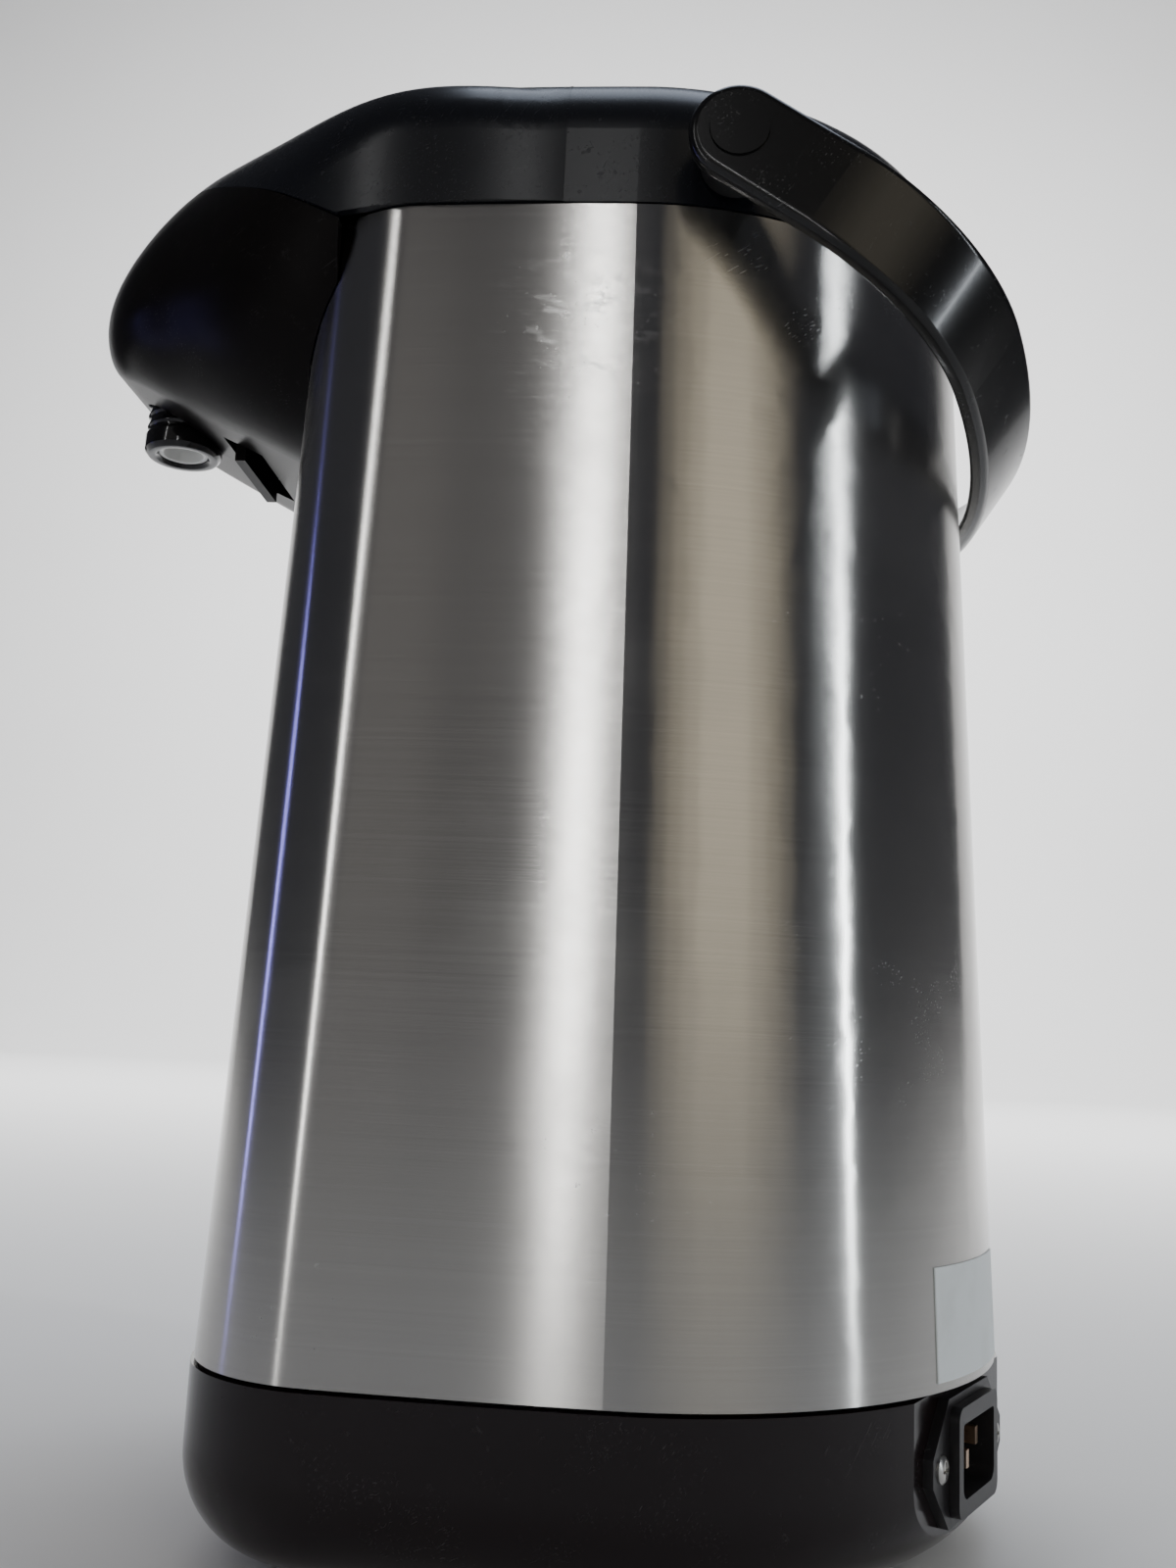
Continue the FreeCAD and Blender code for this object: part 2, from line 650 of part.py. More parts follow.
for part_name, radius, start, length in (
        ("heads", S.inlet_head_radius, S.flange_wall, S.inlet_head_height),
        ("shanks", S.inlet_screw_radius - S.gap / 4, -1 * S.inlet_screw_depth,
         S.flange_wall + S.inlet_screw_depth)):
    sketch = body_sketch(inlet_screws, f"inlet_screw_{part_name}", lift=start)
    for x, y in inlet_holes:
        circle_on(sketch, x, y, radius)
    pad(inlet_screws, sketch, length)
keep(on_flat(inlet_screws))
label_form = tapered_body("label_form", -1 * (S.label_wall + S.running_gap))
label_clear = tapered_body("label_clear", -1 * S.running_gap, 1)
label_window = block("label_window", S.label_width, S.seam_half_width, S.label_height,
                     S.seam_half_width * inlet_sin, back_centre + S.seam_half_width * inlet_cos,
                     S.seam_level + S.label_rise, inlet_turn)
keep(combine("Common", "blank_label", cut("label_skin", label_form, label_clear), label_window))


# ---------------------------------------------------------------- inner pot and heating

pot_top = rim_level - S.rim_step
flange_radius = pot_radius + S.pot_flange
inside_radius = pot_radius - S.steel_wall
dish_radius = pot_radius - S.pot_corner
keep(turned("inner_pot", [
    (0, S.pot_floor), (dish_radius, S.pot_floor), (pot_radius, S.pot_floor + S.pot_corner),
    (pot_radius, pot_top - S.pot_flange), (flange_radius, pot_top - S.pot_flange), (flange_radius, pot_top),
    (inside_radius, pot_top), (inside_radius, S.pot_floor + S.pot_corner),
    (dish_radius, S.pot_floor + S.steel_wall), (0, S.pot_floor + S.steel_wall)], y=S.mouth_shift))
heater_radius = pot_radius - S.heater_margin
heater_top = S.pot_floor - S.touch_gap
heater_bottom = heater_top - S.heater_wall
keep(turned("heater_plate", [(0, heater_bottom), (heater_radius, heater_bottom), (heater_radius, heater_top),
                             (0, heater_top)], y=S.mouth_shift))
band_inner = pot_radius + S.touch_gap
band_outer = band_inner + S.band_wall
band_bottom = S.pot_floor + S.band_rise
band_top = band_bottom + S.band_height
keep(turned("band_heater", [(band_inner, band_bottom), (band_outer, band_bottom), (band_outer, band_top),
                            (band_inner, band_top)], y=S.mouth_shift))
thermostat_top = heater_bottom - S.touch_gap
thermostat_bottom = thermostat_top - S.thermostat_height
keep(turned("thermostat", [(0, thermostat_bottom), (S.thermostat_radius, thermostat_bottom),
                           (S.thermostat_radius, thermostat_top), (0, thermostat_top)], y=S.thermostat_back))
keep(plate("thermal_fuse", rectangle(9, 3), S.fuse_height, x=-1 * S.fuse_left, y=S.fuse_back,
           z=thermostat_top - S.fuse_height))
board_level = base_floor + S.board_rise
keep(plate("circuit_board", rectangle(28, 20), S.board_wall, x=S.board_right, y=S.board_back, z=board_level))
keep(plate("transformer", rectangle(13, 11), S.transformer_height, x=S.board_right,
           y=S.board_back - S.transformer_forward, z=board_level + S.board_wall + S.touch_gap * 2))


# ---------------------------------------------------------------- electric pump and riser

pump_place = {"y": -1 * S.pump_offset, "z": S.pump_level}
chamber_radius = S.impeller_radius + S.swing_gap
chamber_top = S.pump_height - S.pump_wall
shaft_hole = S.shaft_radius + S.running_gap
keep(turned("pump_housing", [
    (0, 0), (S.pump_radius, 0), (S.pump_radius, S.pump_height), (shaft_hole, S.pump_height),
    (shaft_hole, chamber_top), (chamber_radius, chamber_top), (chamber_radius, S.pump_wall),
    (0, S.pump_wall)], **pump_place))
disc_bottom = S.pump_wall + S.swing_gap
disc_top = disc_bottom + S.disc_wall
hub_radius = 5
hub_top = chamber_top - 2 * S.swing_gap
shaft_top = S.pump_height + S.shaft_reach
impeller = turned("pump_impeller", [
    (0, disc_bottom), (S.impeller_radius, disc_bottom), (S.impeller_radius, disc_top), (hub_radius, disc_top),
    (hub_radius, hub_top), (S.shaft_radius, hub_top), (S.shaft_radius, shaft_top), (0, shaft_top)], **pump_place)
vane_start = hub_radius - S.swing_gap
vane_end = S.impeller_radius - S.swing_gap
vane_half = S.vane_wall / 2
for quarter_turn in range(4):
    sketch = body_sketch(impeller, f"vane_{quarter_turn}", lift=disc_bottom + S.disc_wall / 2)
    corners = [(vane_start, -1 * vane_half), (vane_end, -1 * vane_half), (vane_end, vane_half),
               (vane_start, vane_half)]
    for _ in range(quarter_turn):
        corners = [(-1 * y, x) for x, y in corners]
    outline(sketch, corners)
    pad(impeller, sketch, hub_top - disc_top - S.swing_gap)
keep(impeller)
motor_floor = S.pump_height + S.touch_gap * 2
motor_top = motor_floor + S.motor_height
shaft_socket_top = motor_floor + S.shaft_reach + 4 * S.swing_gap
keep(turned("pump_motor", [
    (shaft_hole, motor_floor), (S.motor_radius, motor_floor), (S.motor_radius, motor_top), (0, motor_top),
    (0, shaft_socket_top), (shaft_hole, shaft_socket_top)], **pump_place))


def bent_pipe(label, path, radius, bore, bend, x=0):
    """A pipe in the plane across X: the path's points (y, z) are joined by straight runs and round bends."""
    body = new_body(label)
    route = body_sketch(body, label + "_route", "YZ_Plane")
    places = [Vector(number(y), number(z), 0) for y, z in path]
    ways = [(after - before).normalize() for before, after in zip(places, places[1:])]
    curves = []
    start = places[0]
    for index, corner in enumerate(places[1:-1]):
        before, after = ways[index], ways[index + 1]
        leave, enter = corner - before * number(bend), corner + after * number(bend)
        centre = corner - before * number(bend) + after * number(bend)
        route.addGeometry(Part.LineSegment(start, leave), False)
        clockwise = before.cross(after).z < 0
        first, last = (enter, leave) if clockwise else (leave, enter)
        route.addGeometry(arc_about(centre, bend, bearing(centre, first), bearing(centre, last)), False)
        curves.append((2, 1) if clockwise else (1, 2))
        start = enter
    route.addGeometry(Part.LineSegment(start, places[-1]), False)
    for index, (near, far) in enumerate(curves):
        route.addConstraint(Sketcher.Constraint("Tangent", 2 * index, 2, 2 * index + 1, near))
        route.addConstraint(Sketcher.Constraint("Tangent", 2 * index + 1, far, 2 * index + 2, 1))
        fix_radius(route, 2 * index + 1, bend)
    for index, way in enumerate(ways):
        level = abs(way.x) > 0.5
        route.addConstraint(Sketcher.Constraint("Horizontal" if level else "Vertical", 2 * index))
        (fix_y if level else fix_x)(route, 2 * index, 1, path[index][1 if level else 0])
    level_start = abs(ways[0].x) > 0.5
    level_end = abs(ways[-1].x) > 0.5
    last_run = 2 * len(ways) - 2
    (fix_x if level_start else fix_y)(route, 0, 1, path[0][0 if level_start else 1])
    (fix_x if level_end else fix_y)(route, last_run, 2, path[-1][0 if level_end else 1])
    ring = body_sketch(body, label + "_ring", "XZ_Plane" if level_start else "XY_Plane",
                       -1 * path[0][0] if level_start else path[0][1])
    middle = path[0][1] if level_start else path[0][0]
    circle_on(ring, 0, middle, radius)
    circle_on(ring, 0, middle, bore)
    feature = body.newObject("PartDesign::AdditivePipe", label + "_pipe")
    feature.Profile = ring
    feature.Spine = (route, [f"Edge{index}" for index in range(1, 2 * len(ways))])
    place(body, x=x)
    return body


riser_start = -1 * (S.pump_offset + S.pump_radius + S.touch_gap)
riser_front = -1 * riser_line
riser_top = rim_level + S.riser_rise
pump_mouth = S.pump_level + S.pump_height / 2
keep(bent_pipe("riser_tube", [(riser_start, pump_mouth), (riser_front, pump_mouth), (riser_front, riser_top)],
               riser_radius, S.riser_bore / 2, S.riser_bend))
outlet_top = riser_top + S.outlet_rise
keep(bent_pipe("outlet_pipe", [(riser_front, riser_top + S.touch_gap), (riser_front, outlet_top),
                               (-1 * nozzle_back, outlet_top),
                               (-1 * nozzle_back, nozzle_level + S.nozzle_height + S.touch_gap)],
               riser_radius, S.riser_bore / 2, S.riser_bend))

gauge_form = tapered_body("gauge_form", -1 * S.steel_wall)
gauge_hollow = tapered_body("gauge_hollow", S.steel_wall, 1)
gauge_block = block("gauge_block", S.gauge_width - S.gap, plate_radius, S.gauge_height - S.gap,
                    0, -1 * S.seam_front, gauge_level + S.gap / 2)
keep(combine("Common", "gauge_window", cut("gauge_skin", gauge_form, gauge_hollow), gauge_block))


# ---------------------------------------------------------------- collar form and mouth ring

def collar_form(name, inset, bottom, top, rounding):
    body = new_body(name)
    sketch = body_sketch(body, name + "_plan", "XY_Plane", bottom)
    rim_plan(sketch, inset)
    pad(body, sketch, top - bottom)
    soften(body, rounding, at_height(top))
    return body


collar_outer = collar_form("collar_outer", -1 * S.head_proud, collar_bottom, collar_top, S.collar_round)
collar_inner = collar_form("collar_inner", S.plastic_wall, collar_bottom - 2 * S.collar_wall,
                           collar_top - S.collar_wall, S.collar_round - S.collar_wall)
mouth_cut = turned("mouth_cut", [(0, rim_level), (mouth_radius, rim_level), (mouth_radius, crown_top),
                                 (0, crown_top)], y=S.mouth_shift)
hinge_width = 2 * S.hinge_half_length
hinge_notch = block("hinge_notch", hinge_width, S.notch_length, S.notch_height,
                    0, hinge_back + S.hinge_set, hinge_level - S.barrel_radius - 2 * S.swing_gap)


def cross_pin(label, half_length, radius, y, z):
    """A round pin that lies across the pot, along X."""
    return turned(label, [(0, -1 * half_length), (radius, -1 * half_length), (radius, half_length),
                          (0, half_length)], y=y, z=z, turn=SIDEWAYS)


pivot_line = cross_pin("pivot_line", handle_half_width + S.handle_wall, S.pivot_radius + S.running_gap,
                       S.handle_back, handle_level)
hinge_pin_half = S.hinge_half_length + 3 * S.hinge_pin_radius
pin_line = cross_pin("pin_line", hinge_pin_half + S.touch_gap, S.hinge_pin_radius + S.running_gap,
                     hinge_back, hinge_level)
ring_radius = mouth_radius + 2 * S.touch_gap
ring_top = collar_top - S.ring_drop
keep(turned("mouth_ring", [
    (ring_radius, pot_top + S.touch_gap), (ring_radius + S.ring_wall, pot_top + S.touch_gap),
    (ring_radius + S.ring_wall, ring_top), (ring_radius, ring_top)], y=S.mouth_shift))


# ---------------------------------------------------------------- lid

lid_radius = mouth_radius - S.lid_gap
lid_base = collar_top - S.lid_edge
well_radius = S.press_radius + S.swing_gap
well_floor = lid_base + S.well_wall
bellows_hole = S.bellows_radius + S.swing_gap
lid_solid = turned("lid_solid", [
    (bellows_hole, lid_base), (lid_radius, lid_base), (lid_radius, collar_top),
    (lid_radius - S.lip_width, collar_top + S.lip_height), (well_radius + S.well_wall, crown_top - S.swing_gap),
    (well_radius, crown_top - 1.5 * S.swing_gap), (well_radius, well_floor), (bellows_hole, well_floor)],
    y=S.mouth_shift)
latch_front = S.mouth_shift - lid_radius
latch_floor = collar_top - S.latch_depth
latch_notch = block("latch_notch", S.latch_width + S.swing_gap, (S.latch_length + 2 * S.swing_gap) * 2,
                    S.lid_edge * 2, 0, latch_front, latch_floor - S.swing_gap)
latch_pivot = latch_front + S.latch_length - 2.5 * S.swing_gap
latch_level = latch_floor + S.latch_height / 2 + 2 * S.touch_gap
latch_pin_half = S.latch_width / 2 + S.latch_pin_reach
latch_bore = cross_pin("latch_bore", latch_pin_half + S.touch_gap, S.latch_pin_radius, latch_pivot, latch_level)
vent_bottom = collar_top - S.vent_sunk
vent_seat_radius = S.vent_radius + S.touch_gap
vent_seat = turned("vent_seat", [(0, 0), (vent_seat_radius, 0), (vent_seat_radius, S.lid_edge),
                                 (0, S.lid_edge)], y=S.vent_back, z=vent_bottom)
keep(cut("lid_shell", lid_solid, latch_notch, latch_bore, vent_seat))
arm_front = S.mouth_shift + lid_radius + S.touch_gap
arm_half = S.hinge_half_length - S.swing_gap
arm = block("hinge_arm_plate", 2 * arm_half, hinge_back - arm_front, S.arm_height,
            0, (arm_front + hinge_back) / 2, hinge_level - S.arm_height / 2)
barrel = cross_pin("hinge_barrel", arm_half, S.barrel_radius, hinge_back, hinge_level)
hinge_bore = cross_pin("hinge_bore", S.hinge_half_length + S.swing_gap, S.hinge_pin_radius + S.running_gap,
                       hinge_back, hinge_level)
keep(cut("hinge_arm", combine("Fuse", "hinge_arm_solid", arm, barrel), hinge_bore))
keep(cross_pin("hinge_pin", hinge_pin_half, S.hinge_pin_radius, hinge_back, hinge_level))
plug_bottom = collar_top - S.lid_plug_depth
plug_top = lid_base - S.touch_gap
plug_inside = plug_radius - S.liner_wall
dish_inside = plug_radius - S.liner_corner - S.liner_wall / 3
keep(turned("lid_liner", [
    (0, plug_bottom), (plug_radius - S.liner_corner, plug_bottom), (plug_radius, plug_bottom + S.liner_corner),
    (plug_radius, plug_top), (plug_inside, plug_top), (plug_inside, plug_bottom + S.liner_corner + 1),
    (dish_inside, plug_bottom + S.liner_wall), (0, plug_bottom + S.liner_wall)], y=S.mouth_shift))
seal_inner = plug_radius + S.touch_gap
seal_outer = plug_radius + 0.6 * S.seal_width
keep(turned("lid_gasket", [(seal_inner, lid_base - 16), (seal_outer, lid_base - 14),
                           (seal_outer, lid_base - 11), (seal_inner, lid_base - 12)], y=S.mouth_shift))
latch_bottom = latch_floor + S.gap
latch_reach = S.latch_length - 2 * S.swing_gap
latch_nose = latch_front + 1.8 * S.swing_gap
ON_EDGE_ALONG_X = Rotation(Vector(0, 1, 0), Vector(0, 0, 1), Vector(1, 0, 0), "ZXY")
latch = plate("latch_solid", [(0, 0), (latch_reach, 0), (latch_reach, S.latch_height), (0.6, S.latch_lip)],
              S.latch_width, -1 * S.latch_width / 2, latch_nose, latch_bottom, ON_EDGE_ALONG_X)
latch_hole = cross_pin("latch_hole", S.latch_width, S.latch_pin_radius + S.running_gap, latch_pivot, latch_level)
keep(cut("lid_latch", latch, latch_hole))
keep(cross_pin("latch_pin", latch_pin_half, S.latch_pin_radius, latch_pivot, latch_level))
keep(turned("steam_vent", [(0, 0), (S.vent_radius, 0), (S.vent_radius, 6), (S.vent_radius - 1.5, 9.5),
                           (4, 10.5), (3, 8), (0, 8)], y=S.vent_back, z=vent_bottom))


# ---------------------------------------------------------------- air pump in the lid

press_bottom = crown_top - S.press_wall
press_crown = S.press_wall * 0.7
dome_radius = (S.press_radius * S.press_radius + press_crown * press_crown) / (2 * press_crown)
press_edge = crown_top - press_crown / 2
keep(turned("press_plate", [(0, press_bottom), (S.press_radius, press_bottom),
                            (S.press_radius, press_edge, dome_radius), (0, press_edge + press_crown)],
            y=S.mouth_shift))
bellows_floor = plug_bottom + S.liner_wall + S.touch_gap
fold_count = 5
bellows_height = press_bottom - bellows_floor - S.touch_gap
fold = bellows_height / fold_count
inner_fold = S.bellows_radius - S.fold_depth
zigzag = []
for index in range(fold_count):
    zigzag.append((inner_fold, bellows_floor + fold * index))
    zigzag.append((S.bellows_radius, bellows_floor + fold * (index + 0.5)))
zigzag.append((inner_fold, bellows_floor + bellows_height))
keep(turned("bellows", zigzag + [(x - S.bellows_wall, z) for x, z in reversed(zigzag)], y=S.mouth_shift))
spring = new_body("press_spring")
coil_section = body_sketch(spring, "coil_section", "XZ_Plane")
circle_on(coil_section, S.spring_radius, bellows_floor + S.spring_wire, S.spring_wire / 2)
coil = spring.newObject("PartDesign::AdditiveHelix", "coil")
coil.Profile = coil_section
coil.ReferenceAxis = (coil_section, ["V_Axis"])
coil.Mode = "height-turns-angle"
coil.setExpression("Height", (bellows_height - 2 * S.spring_wire).text)
coil.Turns = 6
place(spring, y=S.mouth_shift)
keep(spring)


# ---------------------------------------------------------------- beak

def beak_section(name, y, half_width, low, high, low_corner, high_corner, inset=0):
    sketch = free_sketch(name, y=y, turn=EDGE_ON)
    rounded_box(sketch, half_width - inset, low + inset, high - inset,
                low_corner - inset, high_corner - inset)
    return sketch


FRONT_SECTIONS = [
    # distance back from the tip, how much narrower than the rim on each side, lowest and highest
    # from the rim, low corner and high corner
    (62, 14.5, -43, 45, 46, 40),
    (42, 26.5, -34, 45, 34, 44),
    (29.5, 35.5, -28, 41, 28, 40),
    (18.5, 43.5, -22, 33, 20, 34),
    (8, 54.5, -16, 21, 14, 22),
    (0, 68.5, -9, 12, 10, 10.5)]


def beak_loft(name, inset, root_sections):
    """The beak's form, from its root to its tip, through one cross-section after another."""
    sections = list(root_sections)
    for back, narrower, low, high, low_corner, high_corner in FRONT_SECTIONS:
        reach = beak_reach - (back if back else inset)
        sections.append((reach, rim_half_width - narrower, rim_level + low, rim_level + high,
                         low_corner, high_corner))
    return loft(name, [beak_section(f"{name}_{index}", -1 * section[0], *section[1:], inset=inset)
                       for index, section in enumerate(sections)])


def cover_form(name, inset):
    """The lower beak stands against the steel below the rim."""
    root_section = (beak_root + inset, rim_half_width - 6.5, rim_level - 51, rim_level + 43, 56, 30)
    return beak_loft(name, inset, [root_section])


def hood_form(name, inset):
    """The hood grows out of the collar's sides and top, level with them at its back."""
    half = rim_half_width + S.head_proud
    return beak_loft(name, inset, [
        (rim_front - 68, half, rim_level - 40, collar_top, 20, S.collar_round),
        (rim_front - 38, half, rim_level - 40, collar_top, 24, S.collar_round),
        (rim_front - 13, rim_half_width - 4.5, rim_level - 46, collar_top + 1.5, 34, 28)])


steel_room = tapered_body("steel_room", -1 * S.head_proud, S.head_proud)
nozzle_hole = turned("nozzle_hole", [
    (0, 0), (S.nozzle_radius + S.touch_gap, 0), (S.nozzle_radius + S.touch_gap, S.nozzle_height * 1.5),
    (0, S.nozzle_height * 1.5)], y=-1 * nozzle_back, z=nozzle_level - S.nozzle_height / 4)
lever_back = nozzle_back - S.lever_setback
lever_level = rim_level - S.lever_drop
lever_slot = block("lever_slot", S.lever_width + 3 * S.swing_gap, 4 * S.lever_barrel, 2 * S.lever_length,
                   0, S.swing_gap - lever_back, lever_level - 1.5 * S.lever_length)
panel_back = rim_front + S.panel_setout
panel_level = rim_level + S.panel_rise
panel_seat = block("panel_seat", S.panel_width + S.gap, S.panel_length + S.gap, S.panel_board_drop * 3,
                   0, -1 * panel_back, panel_level - S.panel_board_drop)
parting_turn = Rotation(Vector(1, 0, 0), -DRIVING["parting_angle"])
parting_y = S.parting_back - rim_front
parting_z = rim_level + S.parting_rise
past_parting = (CLEAR - S.gap / 2) * -1
above_parting = block("above_parting", CLEAR, CLEAR, CLEAR, 0, parting_y, parting_z, parting_turn)
below_parting = block("below_parting", CLEAR, CLEAR, CLEAR,
                      0, parting_y + past_parting * sine(S.parting_angle),
                      parting_z + past_parting * cosine(S.parting_angle), parting_turn)
below_rim = block("below_rim", CLEAR, CLEAR, CLEAR, 0, 0, collar_bottom - CLEAR)
hood_outer = cut("hood_outer_trimmed", hood_form("hood_outer", 0), below_parting, below_rim)
head_outer = combine("Fuse", "head_outer", collar_outer, hood_outer)
head_inner = combine("Fuse", "head_inner", collar_inner, hood_form("hood_inner", S.beak_wall))
keep(cut("head_shell", head_outer, head_inner, mouth_cut, hinge_notch, pivot_line, pin_line, panel_seat,
         steel_room))
collar_room = collar_form("collar_room", -2 * S.head_proud, rim_level, collar_top + S.head_proud, S.collar_round)
keep(cut("beak_cover", cover_form("cover_outer", 0), cover_form("cover_hollow", S.beak_wall), steel_room,
         collar_room, nozzle_hole, lever_slot, above_parting))
pipe_seat = riser_radius + S.touch_gap
keep(turned("nozzle", [(S.nozzle_bore, 0), (S.nozzle_radius, 0), (S.nozzle_radius, S.nozzle_height),
                       (pipe_seat, S.nozzle_height), (pipe_seat, S.nozzle_height - 2),
                       (S.nozzle_bore, S.nozzle_height - S.nozzle_bore)], y=-1 * nozzle_back, z=nozzle_level))
arm_drop = S.lever_length - 2 * S.lever_barrel
lever_arm = block("lever_arm", S.lever_width, S.lever_wall, arm_drop, 0, -1 * lever_back, lever_level - arm_drop)
lever_barrel = cross_pin("lever_barrel", S.lever_width / 2, S.lever_barrel, -1 * lever_back, lever_level)
lever_bore = cross_pin("lever_bore", S.lever_width, S.lever_pin_radius + S.running_gap, -1 * lever_back,
                       lever_level)
keep(cut("cup_lever", combine("Fuse", "lever_solid", lever_arm, lever_barrel), lever_bore))
keep(cross_pin("lever_pin", S.lever_width / 2 + S.lever_pin_reach, S.lever_pin_radius, -1 * lever_back,
               lever_level))


# ---------------------------------------------------------------- control panel

key_spots = [(side * S.key_spacing, -1 * S.key_forward) for side in (-1, 0, 1)]
led_spots = [(side * S.key_spacing / 2, S.led_back) for side in (-1, 1)]
panel = plate("control_panel", rectangle(S.panel_width / 2, S.panel_length / 2), S.panel_wall,
              0, -1 * panel_back, panel_level)
drill(panel, "key_holes", key_spots, S.key_radius + S.key_gap, S.panel_wall, reverse=True)
drill(panel, "led_holes", led_spots, S.led_radius + S.running_gap, S.panel_wall, reverse=True)
keep(panel)
keep(plate("panel_board", rectangle(S.panel_width / 2 - 6, S.panel_length / 2 - 3), S.board_wall,
           0, -1 * panel_back, panel_level - S.panel_board_drop))
leds = new_body("led_lenses")
led_sketch = body_sketch(leds, "leds")
for x, y in led_spots:
    circle_on(led_sketch, x, y, S.led_radius)
pad(leds, led_sketch, S.panel_wall + S.led_proud)
place(leds, 0, -1 * panel_back, panel_level)
keep(leds)
key_foot = S.key_radius + S.swing_gap
for name, (x, y) in zip(("unlock_key", "dispense_key", "reboil_key"), key_spots):
    keep(turned(name, [(0, -1.4), (key_foot, -1.4), (key_foot, -0.6), (S.key_radius, -0.6),
                       (S.key_radius, S.panel_wall + S.key_proud), (0, S.panel_wall + S.key_proud * 1.2)],
                x=x, y=y - panel_back, z=panel_level))


# ---------------------------------------------------------------- handle

def bail(name):
    """A U-shaped strap in its own plane: two straight arms, two round corners and a bowed back."""
    body = new_body(name)
    sketch = body_sketch(body, name + "_outline")
    end = S.handle_height / -2
    half = handle_half_width
    curve_back = handle_reach - S.handle_curve
    corner_x = half - S.handle_corner
    apart = math.sqrt(number(S.handle_curve - S.handle_corner) ** 2 - number(corner_x) ** 2)
    corner_y = number(curve_back) + apart
    lean = math.atan2(apart, number(corner_x))
    for wall in (0, S.handle_wall):
        x, corner, curve = half - wall, S.handle_corner - wall, S.handle_curve - wall
        right, left = spot(corner_x, corner_y), spot(-1 * corner_x, corner_y)
        sketch.addGeometry(Part.LineSegment(spot(x, end), spot(x, corner_y)), False)
        sketch.addGeometry(arc_about(right, corner, 0, lean), False)
        sketch.addGeometry(arc_about(spot(0, curve_back), curve, lean, math.pi - lean), False)
        sketch.addGeometry(arc_about(left, corner, math.pi - lean, math.pi), False)
        sketch.addGeometry(Part.LineSegment(spot(-1 * x, corner_y), spot(-1 * x, end)), False)
    for first in (0, 5):
        for index in range(first, first + 4):
            sketch.addConstraint(Sketcher.Constraint("Tangent", index, 2, index + 1, 1))
        sketch.addConstraint(Sketcher.Constraint("Vertical", first))
        sketch.addConstraint(Sketcher.Constraint("Vertical", first + 4))
        wall = S.handle_wall if first else 0
        fix_x(sketch, first, 1, half - wall)
        fix_y(sketch, first, 1, end)
        fix_x(sketch, first + 4, 2, wall - half)
        fix_y(sketch, first + 4, 2, end)
        fix_radius(sketch, first + 1, S.handle_corner - wall)
        fix_radius(sketch, first + 2, S.handle_curve - wall)
        fix_radius(sketch, first + 3, S.handle_corner - wall)
        fix_y(sketch, first + 2, 3, curve_back)
    sketch.addConstraint(Sketcher.Constraint("PointOnObject", 2, 3, -2))
    for start, finish in ((0, 5), (4, 9)):
        side = 1 if start == 0 else 2
        end_line = Part.LineSegment(sketch.getPoint(start, side), sketch.getPoint(finish, side))
        cap = sketch.addGeometry(end_line, False)
        sketch.addConstraint(Sketcher.Constraint("Coincident", cap, 1, start, side))
        sketch.addConstraint(Sketcher.Constraint("Coincident", cap, 2, finish, side))
    pad(body, sketch, S.handle_height, both_ways=True)

    def arm_end(edge):
        box = edge.BoundBox
        return box.YMax < number(end) + 0.01 and box.XLength > 1

    soften(body, S.handle_height / 2 - 0.2, arm_end)
    soften(body, S.handle_round, lambda edge: edge.Length > 60)
    place(body, 0, S.handle_back, handle_level, Rotation(Vector(1, 0, 0), -DRIVING["handle_droop"]))
    return body


def pair_of_discs(label, radius, near, far, bore=0):
    """Two like discs, one on each side of the pot, on the handle's pivot line."""
    halves = []
    for side in (-1, 1):
        low, high = sorted((side * near, side * far), key=number)
        halves.append(turned(f"{label}_{side + 1}", [(bore, low), (radius, low), (radius, high), (bore, high)],
                             y=S.handle_back, z=handle_level, turn=SIDEWAYS))
    return combine("Fuse", label, *halves)


def side_wall_at(y):
    """How far out the rim's half circle stands, at a distance behind the origin."""
    behind = y - (rim_back - rim_half_width)
    return root(rim_half_width * rim_half_width - behind * behind)


cap_floor = handle_half_width - S.cap_depth
cap_seats = pair_of_discs("cap_seats", S.pivot_cap_radius + S.touch_gap, cap_floor - S.touch_gap,
                          handle_half_width + S.handle_wall)
keep(cut("handle", bail("handle_strap"), pivot_line, cap_seats))
keep(pair_of_discs("pivot_caps", S.pivot_cap_radius, cap_floor, handle_half_width + S.cap_proud))
inner_face = handle_half_width - S.handle_wall
bush_radius = S.pivot_radius + S.bush_wall
bush_foot = side_wall_at(S.handle_back - bush_radius) + S.head_proud + S.gap
keep(pair_of_discs("handle_bushes", bush_radius, bush_foot, inner_face - 3 * S.touch_gap,
                   S.pivot_radius + S.running_gap / 2))
plate_rear = S.handle_back + S.pivot_plate_length / 2
plate_line = side_wall_at(plate_rear) - S.plastic_wall - S.pivot_plate_gap - S.pivot_plate_wall / 2
keep(pair_of_discs("pivot_pins", S.pivot_radius, plate_line + S.pivot_plate_wall / 2 + S.touch_gap,
                   cap_floor - S.gap))
keep(combine("Fuse", "pivot_plates",
             *[block(f"pivot_plate_{name}", S.pivot_plate_wall, S.pivot_plate_length, S.pivot_plate_height,
                     side * plate_line, S.handle_back, handle_level - S.pivot_plate_height / 2)
               for name, side in (("left", -1), ("right", 1))]))


# ---------------------------------------------------------------- check and write

doc.recompute()
for item in doc.Objects:
    if "Invalid" in item.State or "Error" in item.State:
        raise RuntimeError(f"{item.Name} failed: {item.State}")
os.makedirs("parts", exist_ok=True)
for node in nodes:
    if node.Shape.isNull() or not node.Shape.isValid():
        raise RuntimeError(f"{node.Label} has no valid shape")
    node.Shape.exportStep(f"parts/{node.Label}.step")
print(f"{len(nodes)} sub-parts written")
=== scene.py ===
import math

import bpy
from mathutils import Euler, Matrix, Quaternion, Vector


